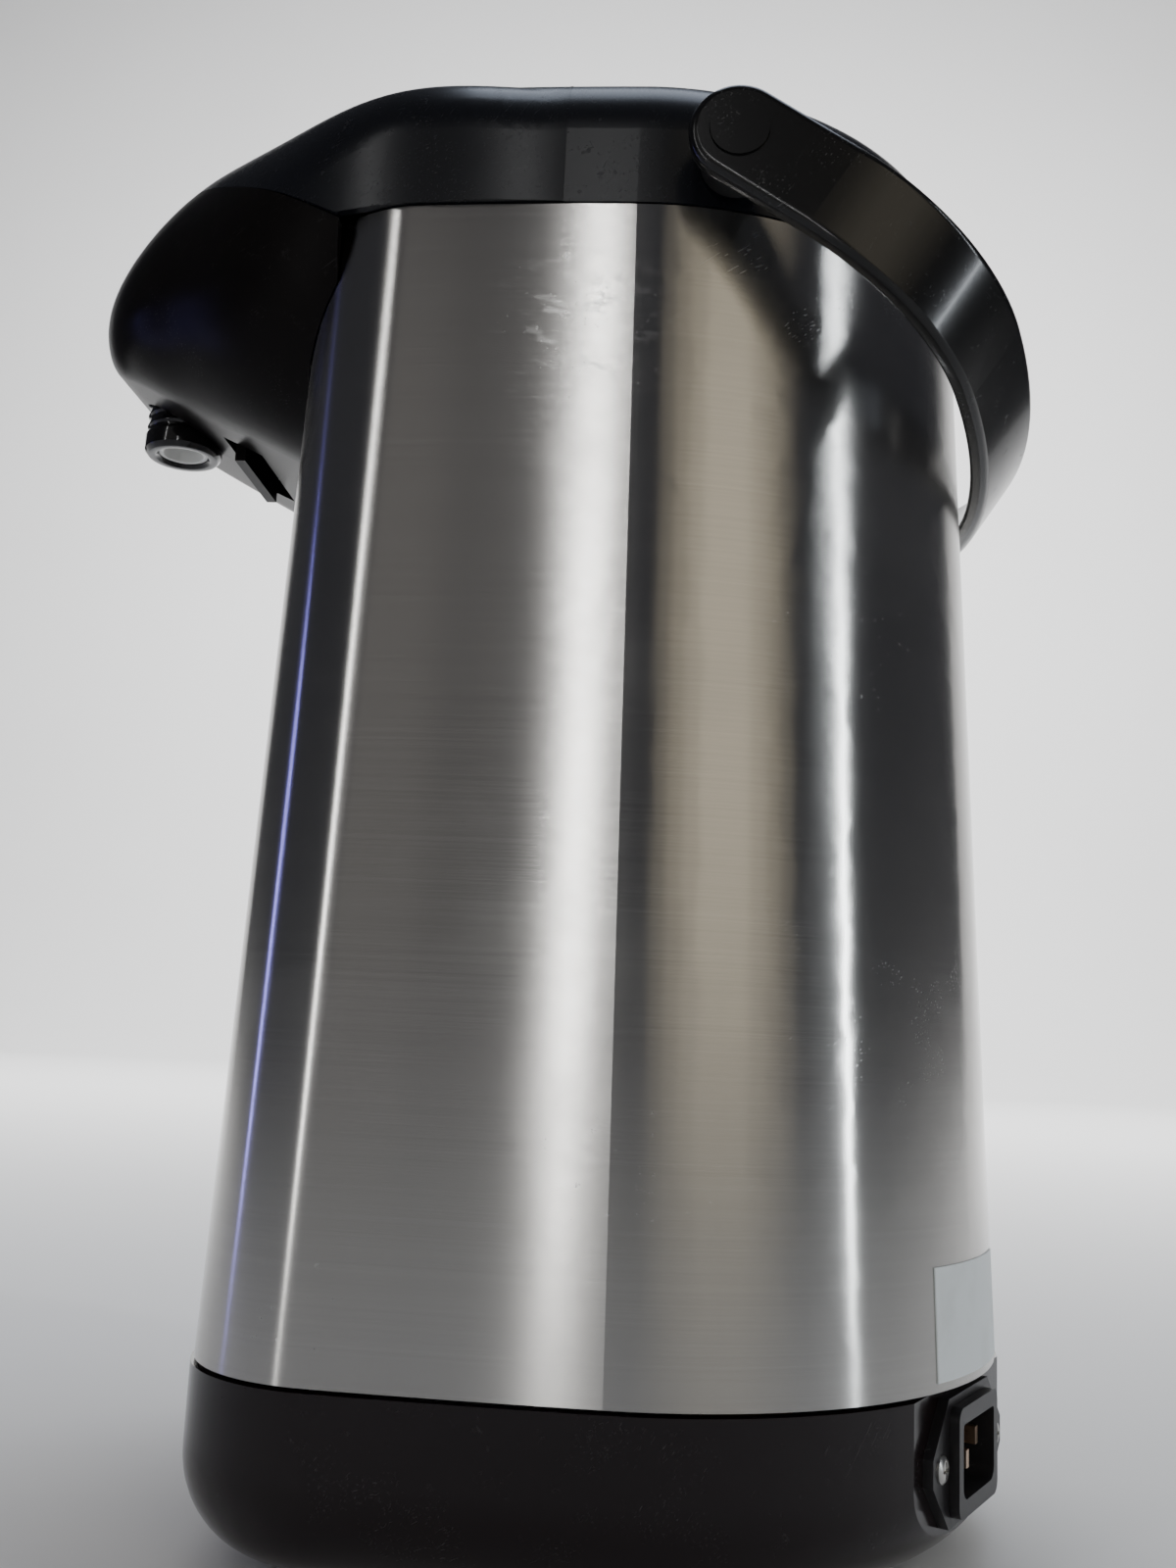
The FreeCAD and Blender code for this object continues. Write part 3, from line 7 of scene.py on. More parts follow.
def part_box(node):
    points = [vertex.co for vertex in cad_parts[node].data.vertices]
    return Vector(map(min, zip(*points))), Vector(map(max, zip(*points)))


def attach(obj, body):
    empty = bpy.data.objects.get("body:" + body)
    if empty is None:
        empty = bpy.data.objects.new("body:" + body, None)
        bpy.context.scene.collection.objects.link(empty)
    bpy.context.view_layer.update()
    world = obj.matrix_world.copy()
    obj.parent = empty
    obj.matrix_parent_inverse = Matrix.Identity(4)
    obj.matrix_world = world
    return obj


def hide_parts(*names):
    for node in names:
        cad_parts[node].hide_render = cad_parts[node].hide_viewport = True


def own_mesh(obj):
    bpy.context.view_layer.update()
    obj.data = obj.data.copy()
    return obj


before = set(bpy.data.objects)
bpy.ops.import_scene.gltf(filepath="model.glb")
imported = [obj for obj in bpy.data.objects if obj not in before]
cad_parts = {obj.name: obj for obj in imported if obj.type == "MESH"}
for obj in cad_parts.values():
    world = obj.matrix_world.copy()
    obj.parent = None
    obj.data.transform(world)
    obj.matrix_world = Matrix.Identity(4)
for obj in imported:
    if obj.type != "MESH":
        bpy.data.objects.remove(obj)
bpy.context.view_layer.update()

# ---------------------------------------------------------------- base
# The bottom housing is one deep moulding in a very dark brown gloss plastic, closed underneath by a
# black plate. Hairline scratches and a little settled dust are spread over it.


class Value:
    """A number that varies over a surface; arithmetic on it adds Math nodes to its material."""

    def __init__(self, finish, socket):
        self.finish = finish
        self.socket = socket

    def _with(self, operation, first, second, clamp=False):
        settings = {"operation": operation, "use_clamp": clamp}
        return self.finish.node("ShaderNodeMath", settings, {0: first, 1: second})

    def __add__(self, other):
        return self._with("ADD", self, other)

    def __radd__(self, other):
        return self._with("ADD", other, self)

    def __sub__(self, other):
        return self._with("SUBTRACT", self, other)

    def __rsub__(self, other):
        return self._with("SUBTRACT", other, self)

    def __mul__(self, other):
        return self._with("MULTIPLY", self, other)

    def __rmul__(self, other):
        return self._with("MULTIPLY", other, self)

    def __truediv__(self, other):
        return self._with("DIVIDE", self, other)

    def held(self):
        """The same value kept between 0 and 1."""
        return self._with("ADD", self, 0.0, clamp=True)

    def above(self, edge, softness):
        """0 below the edge, 1 above it, with a soft step."""
        return ((self - (edge - softness)) / (2 * softness)).held()


class Finish:
    """One material: its tree, its shader, and the few patterns that finishes are made of."""

    def __init__(self, name):
        self.material = bpy.data.materials.new(name)
        self.material.use_nodes = True
        self.tree = self.material.node_tree
        self.shader = self.tree.nodes["Principled BSDF"]
        self.place = self.node("ShaderNodeTexCoord", {}, {}, "Object")

    def node(self, kind, settings, inputs, output=0):
        """Add a node of a type, with its settings and then the values or links of its sockets."""
        made = self.tree.nodes.new(kind)
        for setting, value in settings.items():
            setattr(made, setting, value)
        for socket, value in inputs.items():
            self.feed(made.inputs[socket], value)
        return Value(self, made.outputs[output])

    def feed(self, socket, value):
        if isinstance(value, Value):
            self.tree.links.new(value.socket, socket)
        else:
            socket.default_value = value

    def set(self, **inputs):
        """Set the shader's sockets by name, with spaces written as underscores."""
        for name, value in inputs.items():
            self.feed(self.shader.inputs[name.replace("_", " ")], value)
        return self

    def stretched(self, x, y, z, turn=(0, 0, 0)):
        """The surface's own coordinates, turned and then scaled per axis."""
        turned = self.node("ShaderNodeMapping", {}, {"Vector": self.place, "Rotation": Euler(turn)})
        return self.node("ShaderNodeMapping", {}, {"Vector": turned, "Scale": (x, y, z)})

    def noise(self, scale, detail=3.0, vector=None, roughness=0.5):
        """Soft noise, on the piece's own coordinates unless others are given."""
        coordinates = vector or self.place
        sockets = {"Vector": coordinates, "Scale": scale, "Detail": detail, "Roughness": roughness}
        return self.node("ShaderNodeTexNoise", {}, sockets)

    def mix(self, factor, first, second):
        """Blend two colours; each is a colour or a linked colour."""
        first = first if isinstance(first, Value) else (*first, 1)
        second = second if isinstance(second, Value) else (*second, 1)
        # The Mix node's colour sockets share their names with others, so they go by number.
        sockets = {0: factor, 6: first, 7: second}
        return self.node("ShaderNodeMix", {"data_type": "RGBA"}, sockets, output=2)

    def bump(self, height, distance, strength):
        """A normal raised by a height that stands for a distance in metres."""
        sockets = {"Height": height, "Distance": distance, "Strength": strength}
        return self.node("ShaderNodeBump", {}, sockets)

    def near(self, x, y, z, reach):
        """1 at a place on the surface, falling to 0 at a distance."""
        away = self.node("ShaderNodeVectorMath", {"operation": "DISTANCE"},
                         {0: self.place, 1: (x, y, z)}, "Value")
        return (1 - away / reach).held()

    def hairlines(self, turn, amount):
        """Sparse thin scratches that run one way; a larger amount makes more of them."""
        across, along = 2600, 26
        lines = self.stretched(across, across, along, turn)
        fine = self.noise(1.0, detail=1.0, vector=lines, roughness=0.4)
        broken = self.noise(70.0, detail=2.0)
        return fine.above(0.74 - amount, softness=0.02) * broken.above(0.56, softness=0.05)


def dress(finish, *names):
    """Give a finish to CAD nodes."""
    for name in names:
        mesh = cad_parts[name].data
        mesh.materials.clear()
        mesh.materials.append(finish.material)


def moulded(name, color, roughness, coat=0.0, shine=0.35, wear=0.5, dust_level=0.66):
    """A moulded plastic: slight flow marks, hairline scratches and settled dust over its colour."""
    plastic = Finish(name)
    skin = plastic.noise(1400.0, detail=2.0)
    flow = plastic.noise(14.0, detail=2.0)
    dust = plastic.noise(260.0, detail=6.0, roughness=0.8).above(dust_level, softness=0.05)
    one_way = plastic.hairlines(turn=(0.5, 0.3, 0.2), amount=0.02)
    other_way = plastic.hairlines(turn=(1.2, -0.4, 0.7), amount=0.02)
    scratches = one_way + other_way
    lighter = tuple(min(1.0, channel * 1.4 + 0.002) for channel in color)
    dusty = tuple(channel * 0.5 + 0.12 for channel in color)
    marked = tuple(min(1.0, channel * 1.2 + 0.05) for channel in color)
    body = plastic.mix(flow, color, lighter)
    worn = plastic.mix((scratches * wear).held(), body, marked)
    plastic.set(
        Base_Color=plastic.mix(dust * 0.10, worn, dusty),
        Roughness=(roughness + flow * 0.05 + dust * 0.2 + scratches * 0.12).held(),
        Specular_IOR_Level=shine,
        Coat_Weight=coat,
        Coat_Roughness=0.06,
        Normal=plastic.bump(skin, distance=0.00001, strength=0.3),
    )
    return plastic


brown_gloss = moulded("gloss_brown_black", (0.0065, 0.0032, 0.0036), roughness=0.13, coat=0.15, shine=0.3)
matte_black = moulded("matte_black", (0.012, 0.012, 0.012), roughness=0.55)
dress(brown_gloss, "base_shell")
dress(matte_black, "bottom_plate")

# ---------------------------------------------------------------- foot pad and screws
# The pot stands on a round rubber pad with a ring groove. Four cross-recessed zinc screws hold the
# bottom plate, and two more hold the mains inlet.


def only(name):
    """Name the object just added, with nothing else selected, and return it."""
    made = bpy.context.object
    made.name = name
    bpy.ops.object.select_all(action="DESELECT")
    made.select_set(True)
    return made


def choose(piece):
    """Select one piece alone and make it active."""
    bpy.ops.object.select_all(action="DESELECT")
    piece.select_set(True)
    bpy.context.view_layer.objects.active = piece


def settle(piece, centre, turn=(0, 0, 0)):
    """Turn a piece and move it to its place, in its mesh."""
    piece.location = centre
    piece.rotation_euler = turn
    choose(piece)
    bpy.ops.object.transform_apply(location=True, rotation=True, scale=True)


sharp_edge = math.radians(30)
smooth_edge = math.radians(35)


def softened(piece, width):
    """Bevel the sharp edges of a piece and shade it smooth."""
    choose(piece)
    bevel = piece.modifiers.new("soft_edges", "BEVEL")
    bevel.width = width
    bevel.segments = 2
    bevel.limit_method = "ANGLE"
    bevel.angle_limit = sharp_edge
    bpy.ops.object.modifier_apply(modifier="soft_edges")
    bpy.ops.object.shade_smooth_by_angle(angle=smooth_edge)


def lathe(name, outline, steps=64):
    """Spin an outline of (radius, height) points about Z; it closes on the axis or on itself."""
    small = 0.001
    bpy.ops.object.select_all(action="DESELECT")
    bpy.ops.mesh.primitive_plane_add(size=small, location=(0, 0, 0))
    piece = only(name)
    bpy.ops.object.mode_set(mode="EDIT")
    bpy.ops.mesh.select_mode(type="VERT")
    bpy.ops.mesh.select_all(action="SELECT")
    bpy.ops.mesh.merge(type="CENTER")
    radius, height = outline[0]
    bpy.ops.transform.translate(value=(radius, 0, height))
    for next_radius, next_height in outline[1:]:
        step = (next_radius - radius, 0, next_height - height)
        bpy.ops.mesh.extrude_region_move(TRANSFORM_OT_translate={"value": step})
        radius, height = next_radius, next_height
    bpy.ops.mesh.select_all(action="SELECT")
    bpy.ops.mesh.spin(steps=steps, angle=2 * math.pi, center=(0, 0, 0), axis=(0, 0, 1))
    bpy.ops.mesh.select_all(action="SELECT")
    bpy.ops.mesh.remove_doubles(threshold=0.00001)
    bpy.ops.mesh.normals_make_consistent(inside=False)
    bpy.ops.object.mode_set(mode="OBJECT")
    return piece


def fit(piece, body, finish, node=None):
    """Give a piece its finish and its body, and the CAD node that it stands for."""
    piece.data.materials.clear()
    piece.data.materials.append(finish.material)
    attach(piece, body)
    if node:
        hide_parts(node)


def centre_of(node):
    low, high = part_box(node)
    return (Vector(low) + Vector(high)) / 2


def size_of(node):
    low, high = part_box(node)
    return Vector(high) - Vector(low)


def foot_of(node):
    """The middle of a node's underside."""
    centre = centre_of(node)
    return Vector((centre.x, centre.y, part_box(node)[0][2]))


def plated(name, color, roughness):
    """A plated or drawn metal: fine grain and slightly darker worn patches."""
    metal = Finish(name)
    fine = metal.noise(600.0, detail=3.0)
    worn = metal.noise(60.0, detail=4.0)
    darker = tuple(channel * 0.6 for channel in color)
    metal.set(
        Base_Color=metal.mix(worn, darker, color),
        Metallic=1.0,
        Roughness=(roughness + fine * 0.15 + worn * 0.05).held(),
        Normal=metal.bump(fine, distance=0.00002, strength=0.3),
    )
    return metal


def recess(screw, width, length, depth, top):
    """Cut a cross into the top of a screw head."""
    for across in (0, math.pi / 2):
        bpy.ops.object.select_all(action="DESELECT")
        bpy.ops.mesh.primitive_cube_add(size=1, location=(0, 0, top), rotation=(0, 0, across),
                                        scale=(length, width, depth * 2))
        cutter = only("cross_cutter")
        bpy.ops.object.transform_apply(location=True, rotation=True, scale=True)
        choose(screw)
        hollow = screw.modifiers.new("cross", "BOOLEAN")
        hollow.operation = "DIFFERENCE"
        hollow.object = cutter
        hollow.solver = "EXACT"
        bpy.ops.object.modifier_apply(modifier="cross")
        bpy.data.objects.remove(cutter)


def screws(name, node, radius, height, places, turn):
    """Domed screw heads with a cross recess, one at each place, that stand for a CAD node."""
    for index, place in enumerate(places):
        dome = [(0, 0), (radius, 0), (radius, height * 0.35), (radius * 0.8, height * 0.8),
                (radius * 0.4, height), (0, height)]
        screw = lathe(f"{name}_{index}", dome, steps=32)
        recess(screw, width=radius * 0.28, length=radius * 1.15, depth=height * 0.6, top=height)
        settle(screw, place, turn)
        bpy.ops.object.shade_smooth_by_angle(angle=smooth_edge)
        fit(screw, "pot", zinc, node)


zinc = plated("zinc", (0.66, 0.65, 0.62), roughness=0.22)
rubber = moulded("rubber", (0.022, 0.022, 0.022), roughness=0.75, wear=0.2, dust_level=0.6)

pad_radius = size_of("foot_pad").x / 2
pad_height = size_of("foot_pad").z
pad_edge = 0.001
hollow_depth = 0.001
inner_tread = 0.006
groove = pad_radius * 0.82
groove_width = 0.003
groove_depth = 0.0012
foot_pad = lathe("grooved_foot_pad", [
    (0, hollow_depth), (groove - inner_tread, hollow_depth), (groove - inner_tread, 0), (groove, 0),
    (groove, groove_depth), (groove + groove_width, groove_depth), (groove + groove_width, 0),
    (pad_radius - pad_edge, 0), (pad_radius, pad_edge), (pad_radius, pad_height), (0, pad_height)])
softened(foot_pad, width=0.0002)
fit(foot_pad, "pot", rubber, "foot_pad")

foot_head = 0.0032
foot_head_height = 0.0016
foot_ring = size_of("bottom_screws").x / 2 - foot_head
head_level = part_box("bottom_screws")[0][2] + foot_head_height
foot_places = [(x * foot_ring, y * foot_ring, head_level) for x in (-1, 1) for y in (-1, 1)]
facing_down = (math.pi, 0, 0)
screws("foot_screw", "bottom_screws", foot_head, foot_head_height, foot_places, facing_down)

# ---------------------------------------------------------------- mains inlet
# A black socket with three blades sits in its own flat at the back corner of the base. Two screws
# hold its flange, and a paper label, here blank, is stuck to the steel above it.

inlet_black = moulded("inlet_black", (0.010, 0.009, 0.010), roughness=0.34, shine=0.4, wear=0.8)
blade_metal = plated("brass_pins", (0.78, 0.56, 0.40), roughness=0.2)
paper = Finish("label_paper")
fibre = paper.noise(900.0, detail=4.0)
rubbed = paper.noise(80.0, detail=4.0).above(0.6, softness=0.1)
paper.set(
    Base_Color=paper.mix(rubbed * 0.4, (0.84, 0.90, 0.92), (0.70, 0.75, 0.75)),
    Roughness=(0.42 + fibre * 0.15).held(),
    Normal=paper.bump(fibre, distance=0.00003, strength=0.4),
)
dress(inlet_black, "inlet_housing")
dress(blade_metal, "inlet_pins")
dress(paper, "blank_label")

inlet_angle = math.radians(28)
along_flat = Vector((-math.cos(inlet_angle), math.sin(inlet_angle), 0))
out_of_flat = Vector((math.sin(inlet_angle), math.cos(inlet_angle), 0))
inlet_head = 0.0031
inlet_head_height = 0.0012
inlet_screw_spacing = 0.040
reach = max(vertex.co.dot(out_of_flat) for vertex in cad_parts["inlet_screws"].data.vertices)
heads = centre_of("inlet_screws")
heads += out_of_flat * (reach - inlet_head_height - heads.dot(out_of_flat))
inlet_places = [heads + along_flat * side * inlet_screw_spacing / 2 for side in (-1, 1)]
facing_out = out_of_flat.to_track_quat("Z", "Y").to_euler()
screws("inlet_screw", "inlet_screws", inlet_head, inlet_head_height, inlet_places, facing_out)

# ---------------------------------------------------------------- steel shell
# The body is a sheet of stainless steel, rolled, seam-welded and brushed in fine level lines.
# Handling has left smears, dried water spots and a few bright scratches.

steel = Finish("brushed_shell")
fine_lines = steel.stretched(14, 14, 6500)
grain = steel.noise(1.0, detail=2.0, vector=fine_lines, roughness=0.7)
coarse_lines = steel.stretched(3, 3, 1100)
coarse = steel.noise(1.0, detail=2.0, vector=coarse_lines, roughness=0.6)
cloud = steel.noise(9.0, detail=3.0)
smear = steel.noise(26.0, detail=5.0).above(0.62, softness=0.1)
water_spots = steel.noise(420.0, detail=5.0, roughness=0.75)
splashed = (steel.near(0.097, 0.013, 0.092, reach=0.035)
            + steel.near(0.085, -0.058, 0.058, reach=0.03)
            + steel.near(0.070, 0.054, 0.215, reach=0.03)
            + steel.near(0.093, -0.011, 0.289, reach=0.035)).held()
specks = water_spots.above(0.66, softness=0.02) * splashed
wipe_lines = steel.stretched(60, 160, 420, turn=(0.12, 0, 0))
wiped = steel.noise(1.0, detail=3.0, vector=wipe_lines, roughness=0.6).above(0.6, softness=0.06)
thumb = wiped * steel.near(0.093, -0.008, 0.288, reach=0.028)
handled = (steel.near(0.060, 0.070, 0.125, reach=0.06)
           + steel.near(0.075, 0.045, 0.31, reach=0.05)).held()
slanted = steel.hairlines(turn=(0.9, 0.15, 0), amount=0.05) * handled * 0.8
marks = (specks * 0.8 + thumb * 0.4 + slanted).held()
tone = (grain * 0.4 + coarse * 0.25 + cloud * 0.35).held()
brushed_color = steel.mix(tone, (0.36, 0.35, 0.33), (0.60, 0.585, 0.56))
steel.set(
    Base_Color=steel.mix(marks * 0.6, brushed_color, (0.76, 0.77, 0.76)),
    Metallic=1.0,
    Roughness=(0.15 + grain * 0.06 + smear * 0.03 + cloud * 0.03 + marks * 0.25).held(),
    Anisotropic=0.98,
    Anisotropic_Rotation=0.25,
    Normal=steel.bump(grain * 0.7 + coarse * 0.3, distance=0.00002, strength=0.3),
)
dress(steel, "outer_shell")

# ---------------------------------------------------------------- water gauge
# A clear plastic strip, set into a slot in the front of the steel, shows the level of the water
# standing in the riser behind it.

clear = Finish("clear")
clear.set(
    Base_Color=(0.8, 0.88, 0.9, 1),
    Roughness=0.05 + clear.noise(40.0) * 0.1,
    Transmission_Weight=0.85,
)
dress(clear, "gauge_window")

# ---------------------------------------------------------------- inner pot, heaters and electrics
# The pot is drawn stainless steel with a cast heater plate below and a band heater round its foot.
# The thermostat, fuse, board, transformer and pump sit in the space under it.

bright_steel = plated("bright_steel", (0.62, 0.62, 0.60), roughness=0.2)
cast_aluminium = plated("cast_aluminium", (0.6, 0.6, 0.6), roughness=0.4)
white_plastic = moulded("white_plastic", (0.72, 0.72, 0.69), roughness=0.4)
silicone = moulded("silicone", (0.62, 0.62, 0.58), roughness=0.5)
solder_mask = moulded("board_green", (0.02, 0.16, 0.06), roughness=0.4)
varnish = moulded("heater_band", (0.30, 0.17, 0.08), roughness=0.45)
dress(bright_steel, "inner_pot", "lid_liner")
dress(cast_aluminium, "heater_plate")
dress(varnish, "band_heater", "transformer")
dress(matte_black, "thermostat")
dress(white_plastic, "mouth_ring", "pump_housing", "pump_impeller", "thermal_fuse")
dress(solder_mask, "circuit_board", "panel_board")
dress(silicone, "riser_tube", "outlet_pipe", "lid_gasket")
dress(zinc, "pump_motor", "hinge_pin", "lever_pin", "pivot_pins", "pivot_plates", "latch_pin")

# ---------------------------------------------------------------- head and beak
# The head is one satin black moulding that runs from the back of the pot out over the beak. The
# beak's underside is a separate black cover, fitted up against it along a parting line.

satin_black = moulded("satin_black", (0.0050, 0.0055, 0.0075), roughness=0.24, wear=0.35)
gloss_black = moulded("gloss_black", (0.0050, 0.0045, 0.0045), roughness=0.10, coat=0.2,
                      shine=0.4, wear=0.6)
cover_black = moulded("cover_black", (0.0050, 0.0042, 0.0040), roughness=0.26, shine=0.25, wear=0.6)
cover_black.set(IOR=1.22)
dress(satin_black, "head_shell")
dress(cover_black, "beak_cover", "cup_lever")

# ---------------------------------------------------------------- nozzle
# A short ribbed spout moulded in gloss black plastic hangs under the beak. The end of a white
# tube is pressed inside it and shows as a pale ring.

spout_radius = size_of("nozzle").x / 2
spout_height = size_of("nozzle").z
spout_bore = 0.0072
rib = 0.0008
rib_pitch = 0.0034
rib_count = 3
lip = 0.006
bore_edge = 0.001
spout_outline = [(spout_bore, bore_edge), (spout_bore + bore_edge, 0), (spout_radius - 0.0012, 0),
                 (spout_radius, 0.0014), (spout_radius, lip)]
for ring in range(rib_count):
    ring_foot = lip + ring * rib_pitch
    spout_outline += [(spout_radius - rib, ring_foot + 0.2 * rib_pitch),
                      (spout_radius - rib, ring_foot + 0.5 * rib_pitch),
                      (spout_radius - rib * 0.25, ring_foot + 0.7 * rib_pitch)]
spout_outline += [(spout_radius - rib, spout_height), (spout_bore, spout_height),
                  (spout_bore, bore_edge)]
spout = lathe("ribbed_nozzle", spout_outline)
settle(spout, foot_of("nozzle"))
softened(spout, width=0.00015)
fit(spout, "pot", gloss_black, "nozzle")

liner_wall = 0.0012
liner_inside = spout_bore - liner_wall
liner_end = 0.0012
liner = lathe("nozzle_liner", [
    (liner_inside, liner_end), (spout_bore, liner_end), (spout_bore, spout_height),
    (liner_inside, spout_height), (liner_inside, liner_end)])
settle(liner, foot_of("nozzle"))
softened(liner, width=0.0002)
fit(liner, "pot", white_plastic)

# ---------------------------------------------------------------- lid, latch and press plate
# The lid is a satin black moulding hinged at the back. Its round press plate is gloss plastic with
# turned rings, and works the air pump; the steam vent behind it is a small round cap.

dress(satin_black, "lid_shell", "hinge_arm")
dress(gloss_black, "lid_latch")
dress(matte_black, "steam_vent", "handle_bushes")

press_radius = size_of("press_plate").x / 2
press_height = size_of("press_plate").z
ring_depth = 0.0006
ring_shares = (0.92, 0.84, 0.76, 0.68)
press_outline = [(0, 0), (press_radius, 0), (press_radius, press_height * 0.45)]
for share in ring_shares:
    crown = press_height * (0.95 - 0.3 * share ** 2)
    press_outline += [(press_radius * (share + 0.04), crown), (press_radius * (share + 0.01), crown),
                      (press_radius * share, crown - ring_depth),
                      (press_radius * (share - 0.02), crown - ring_depth)]
press_outline += [(press_radius * 0.62, press_height * 0.86),
                  (press_radius * 0.3, press_height * 0.96), (0, press_height)]
press = lathe("ringed_press_plate", press_outline, steps=96)
settle(press, foot_of("press_plate"))
softened(press, width=0.0002)
fit(press, "press", gloss_black, "press_plate")

# ---------------------------------------------------------------- bellows and spring
# Under the press plate a moulded rubber bellows pumps air, and a zinc plated coil spring inside it
# pushes the plate back up. Both stand on the liner.

folding_pieces = (("bellows", rubber, "rubber"), ("press_spring", zinc, "zinc"))
for soft, soft_finish, soft_slot in folding_pieces:
    folding = bpy.data.objects.new("folding_" + soft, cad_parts[soft].data.copy())
    bpy.context.scene.collection.objects.link(folding)
    choose(folding)
    bpy.ops.object.mode_set(mode="EDIT")
    bpy.ops.mesh.select_all(action="SELECT")
    bpy.ops.mesh.remove_doubles(threshold=0.00001)
    bpy.ops.object.mode_set(mode="OBJECT")
    bpy.ops.object.shade_smooth_by_angle(angle=smooth_edge)
    fit(folding, "lid", soft_finish, soft)
    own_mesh(folding)

# ---------------------------------------------------------------- control panel
# A grey plastic panel, let into the top of the beak, carries three dished keys and two red lamps.
# It has no lettering. Each key is a cap on a flange, held down by the panel round its hole.

panel_grey = moulded("panel_grey", (0.035, 0.035, 0.04), roughness=0.35)
key_grey = moulded("key_grey", (0.28, 0.29, 0.31), roughness=0.45)
lamp_red = moulded("led_lens", (0.5, 0.08, 0.03), roughness=0.15, coat=0.8)
dress(panel_grey, "control_panel")
dress(lamp_red, "led_lenses")
flange_width = 0.001
flange_thickness = 0.0008
key_round = 0.0006
key_dish = 0.0007
for key in ("unlock_key", "dispense_key", "reboil_key"):
    flange = size_of(key).x / 2
    edge = flange - flange_width
    top = size_of(key).z
    cap = lathe("dished_" + key, [
        (0, 0), (flange, 0), (flange, flange_thickness), (edge, flange_thickness),
        (edge, top - key_round), (edge - 0.0005, top), (edge - 0.0014, top),
        (edge * 0.4, top - 0.0006), (0, top - key_dish)], steps=48)
    settle(cap, foot_of(key))
    softened(cap, width=0.00012)
    fit(cap, key, key_grey, key)

# ---------------------------------------------------------------- handle
# The bail is a strap moulded in gloss black plastic. It turns on two plated pins that come out of
# the head, with a cap over the end of each pin.

handle_gloss = moulded("handle_gloss", (0.0050, 0.0048, 0.0048), roughness=0.16, coat=0.1,
                       shine=0.4, wear=0.7)
dress(handle_gloss, "handle", "pivot_caps")

# ---------------------------------------------------------------- the room, camera and lights
# A pale matt floor sweeps up into a pale wall. The camera stands low beside the pot and looks a
# little upwards. Tall strip lights draw the upright streaks in the steel; soft panels fill the rest.

room = bpy.data.worlds.new("room")
bpy.context.scene.world = room
room.use_nodes = True
room_glow = room.node_tree.nodes["Background"]
room_glow.inputs["Color"].default_value = (0.30, 0.31, 0.36, 1)
room_glow.inputs["Strength"].default_value = 0.14

floor_size = 9
floor_centre_x = -0.1
wall_height = 5
sweep_radius = 1.2
bpy.ops.object.select_all(action="DESELECT")
bpy.ops.mesh.primitive_plane_add(size=floor_size, location=(floor_centre_x, 0, 0))
floor = only("floor")
bpy.ops.object.transform_apply(location=True, rotation=True, scale=True)
bpy.ops.object.mode_set(mode="EDIT")
bpy.ops.mesh.select_mode(type="EDGE")
bpy.ops.mesh.select_all(action="DESELECT")
bpy.ops.object.mode_set(mode="OBJECT")
for side in floor.data.edges:
    side.select = all(floor.data.vertices[corner].co.x < floor_centre_x for corner in side.vertices)
bpy.ops.object.mode_set(mode="EDIT")
bpy.ops.mesh.extrude_region_move(TRANSFORM_OT_translate={"value": (0, 0, wall_height)})
bpy.ops.object.mode_set(mode="OBJECT")
sweep = floor.modifiers.new("sweep", "BEVEL")
sweep.width = sweep_radius
sweep.segments = 16
sweep.limit_method = "ANGLE"
bpy.ops.object.modifier_apply(modifier="sweep")
bpy.ops.object.shade_smooth()
paint = Finish("matt_paint")
paint.set(
    Base_Color=paint.mix(paint.noise(2.0), (0.86, 0.86, 0.86), (0.90, 0.90, 0.90)),
    Roughness=0.9,
    Specular_IOR_Level=0.1,
)
floor.data.materials.append(paint.material)

camera_data = bpy.data.cameras.new("camera")
camera_data.lens = 33.27
camera_data.sensor_width = 36
camera_data.clip_start = 0.01
camera = bpy.data.objects.new("camera", camera_data)
bpy.context.scene.collection.objects.link(camera)
bpy.context.scene.camera = camera
camera.location = (0.4131, 0.01925, 0.1216)
aim, tilt, roll = 0.067, 0.169, 0.046
forward = Vector((-math.cos(tilt) * math.cos(aim), -math.cos(tilt) * math.sin(aim), math.sin(tilt)))
camera.rotation_mode = "QUATERNION"
camera.rotation_quaternion = forward.to_track_quat("-Z", "Y") @ Quaternion((0, 0, 1), roll)


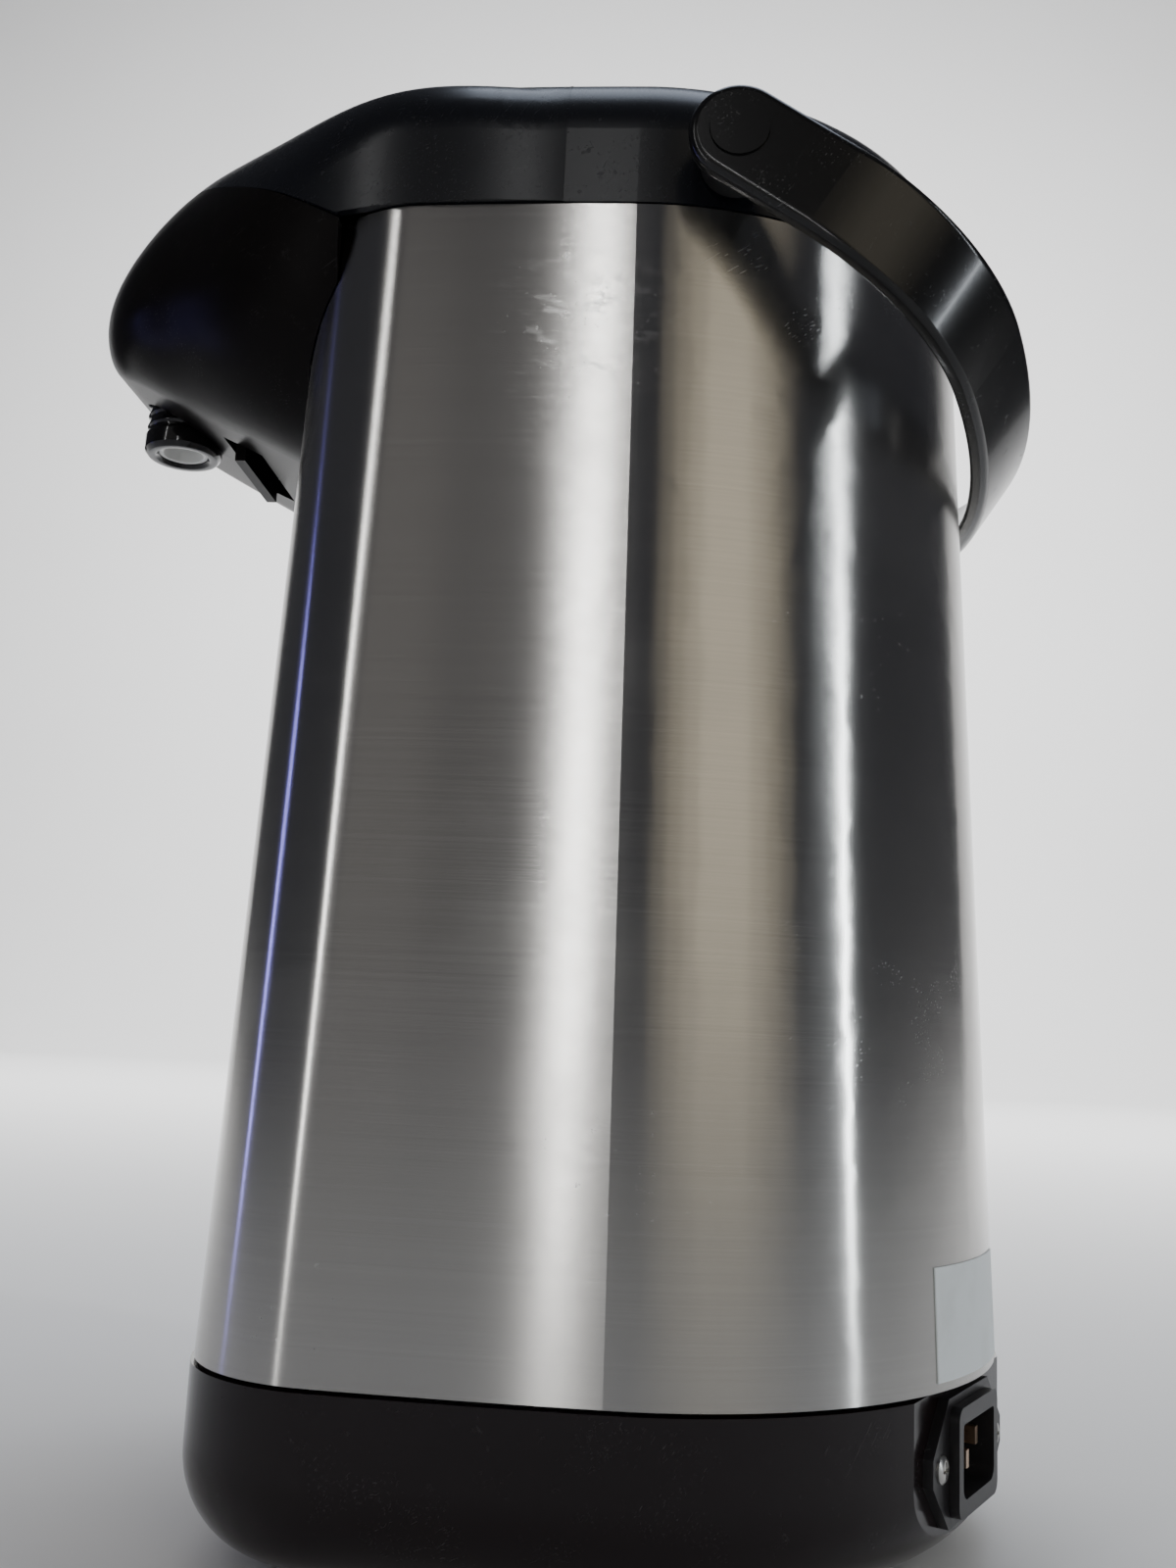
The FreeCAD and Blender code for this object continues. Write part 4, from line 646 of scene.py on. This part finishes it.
def panel_light(name, azimuth, distance, height, width, tall, power, color=(1, 1, 1)):
    """An upright area light facing the pot; azimuth is in degrees from +X towards +Y."""
    data = bpy.data.lights.new(name, "AREA")
    data.shape = "RECTANGLE"
    data.size = width
    data.size_y = tall
    data.energy = power
    data.color = color
    lamp = bpy.data.objects.new(name, data)
    bpy.context.scene.collection.objects.link(lamp)
    angle = math.radians(azimuth)
    lamp.location = (distance * math.cos(angle), distance * math.sin(angle), height)
    target = Vector((0, 0, height))
    lamp.rotation_mode = "QUATERNION"
    lamp.rotation_quaternion = (target - lamp.location).to_track_quat("-Z", "Y")
    return lamp


panel_light("strip_middle", azimuth=-5.5, distance=1.6, height=0.75, width=0.02, tall=1.5, power=3.2)
panel_light("strip_front", azimuth=-42, distance=1.5, height=0.75, width=0.03, tall=1.5, power=2.4)
panel_light("strip_back", azimuth=70, distance=1.5, height=0.75, width=0.035, tall=1.5, power=5.5,
            color=(0.88, 0.94, 1.0))

# Panels of rising width, one behind the other, fade out softly towards their sides.
behind = 0.02
for step, width in enumerate((0.5, 0.85, 1.2, 1.55)):
    panel_light(f"warm_panel_{step}", azimuth=30, distance=1.8 + behind * step, height=0.9, width=width,
                tall=1.5, power=1.1 * width, color=(1.0, 0.90, 0.70))
for step, width in enumerate((0.5, 0.9, 1.3)):
    panel_light(f"dim_panel_{step}", azimuth=-24, distance=1.9 + behind * step, height=0.9, width=width,
                tall=1.5, power=0.28 * width, color=(1.0, 0.95, 0.90))
panel_light("violet_strip", azimuth=-88, distance=1.0, height=0.25, width=0.02, tall=0.45, power=0.35,
            color=(0.30, 0.28, 1.0))

facing_floor = Quaternion((1, 0, 0, 0))
overhead = panel_light("overhead", azimuth=150, distance=0.25, height=1.7, width=0.8, tall=0.8, power=5,
                       color=(0.75, 0.84, 1.0))
overhead.rotation_quaternion = facing_floor
wall_wash = panel_light("wall_wash", azimuth=180, distance=1.2, height=2.6, width=4.0, tall=1.0, power=320)
wall_wash.rotation_quaternion = Vector((-1.0, 0, -0.55)).to_track_quat("-Z", "Y")
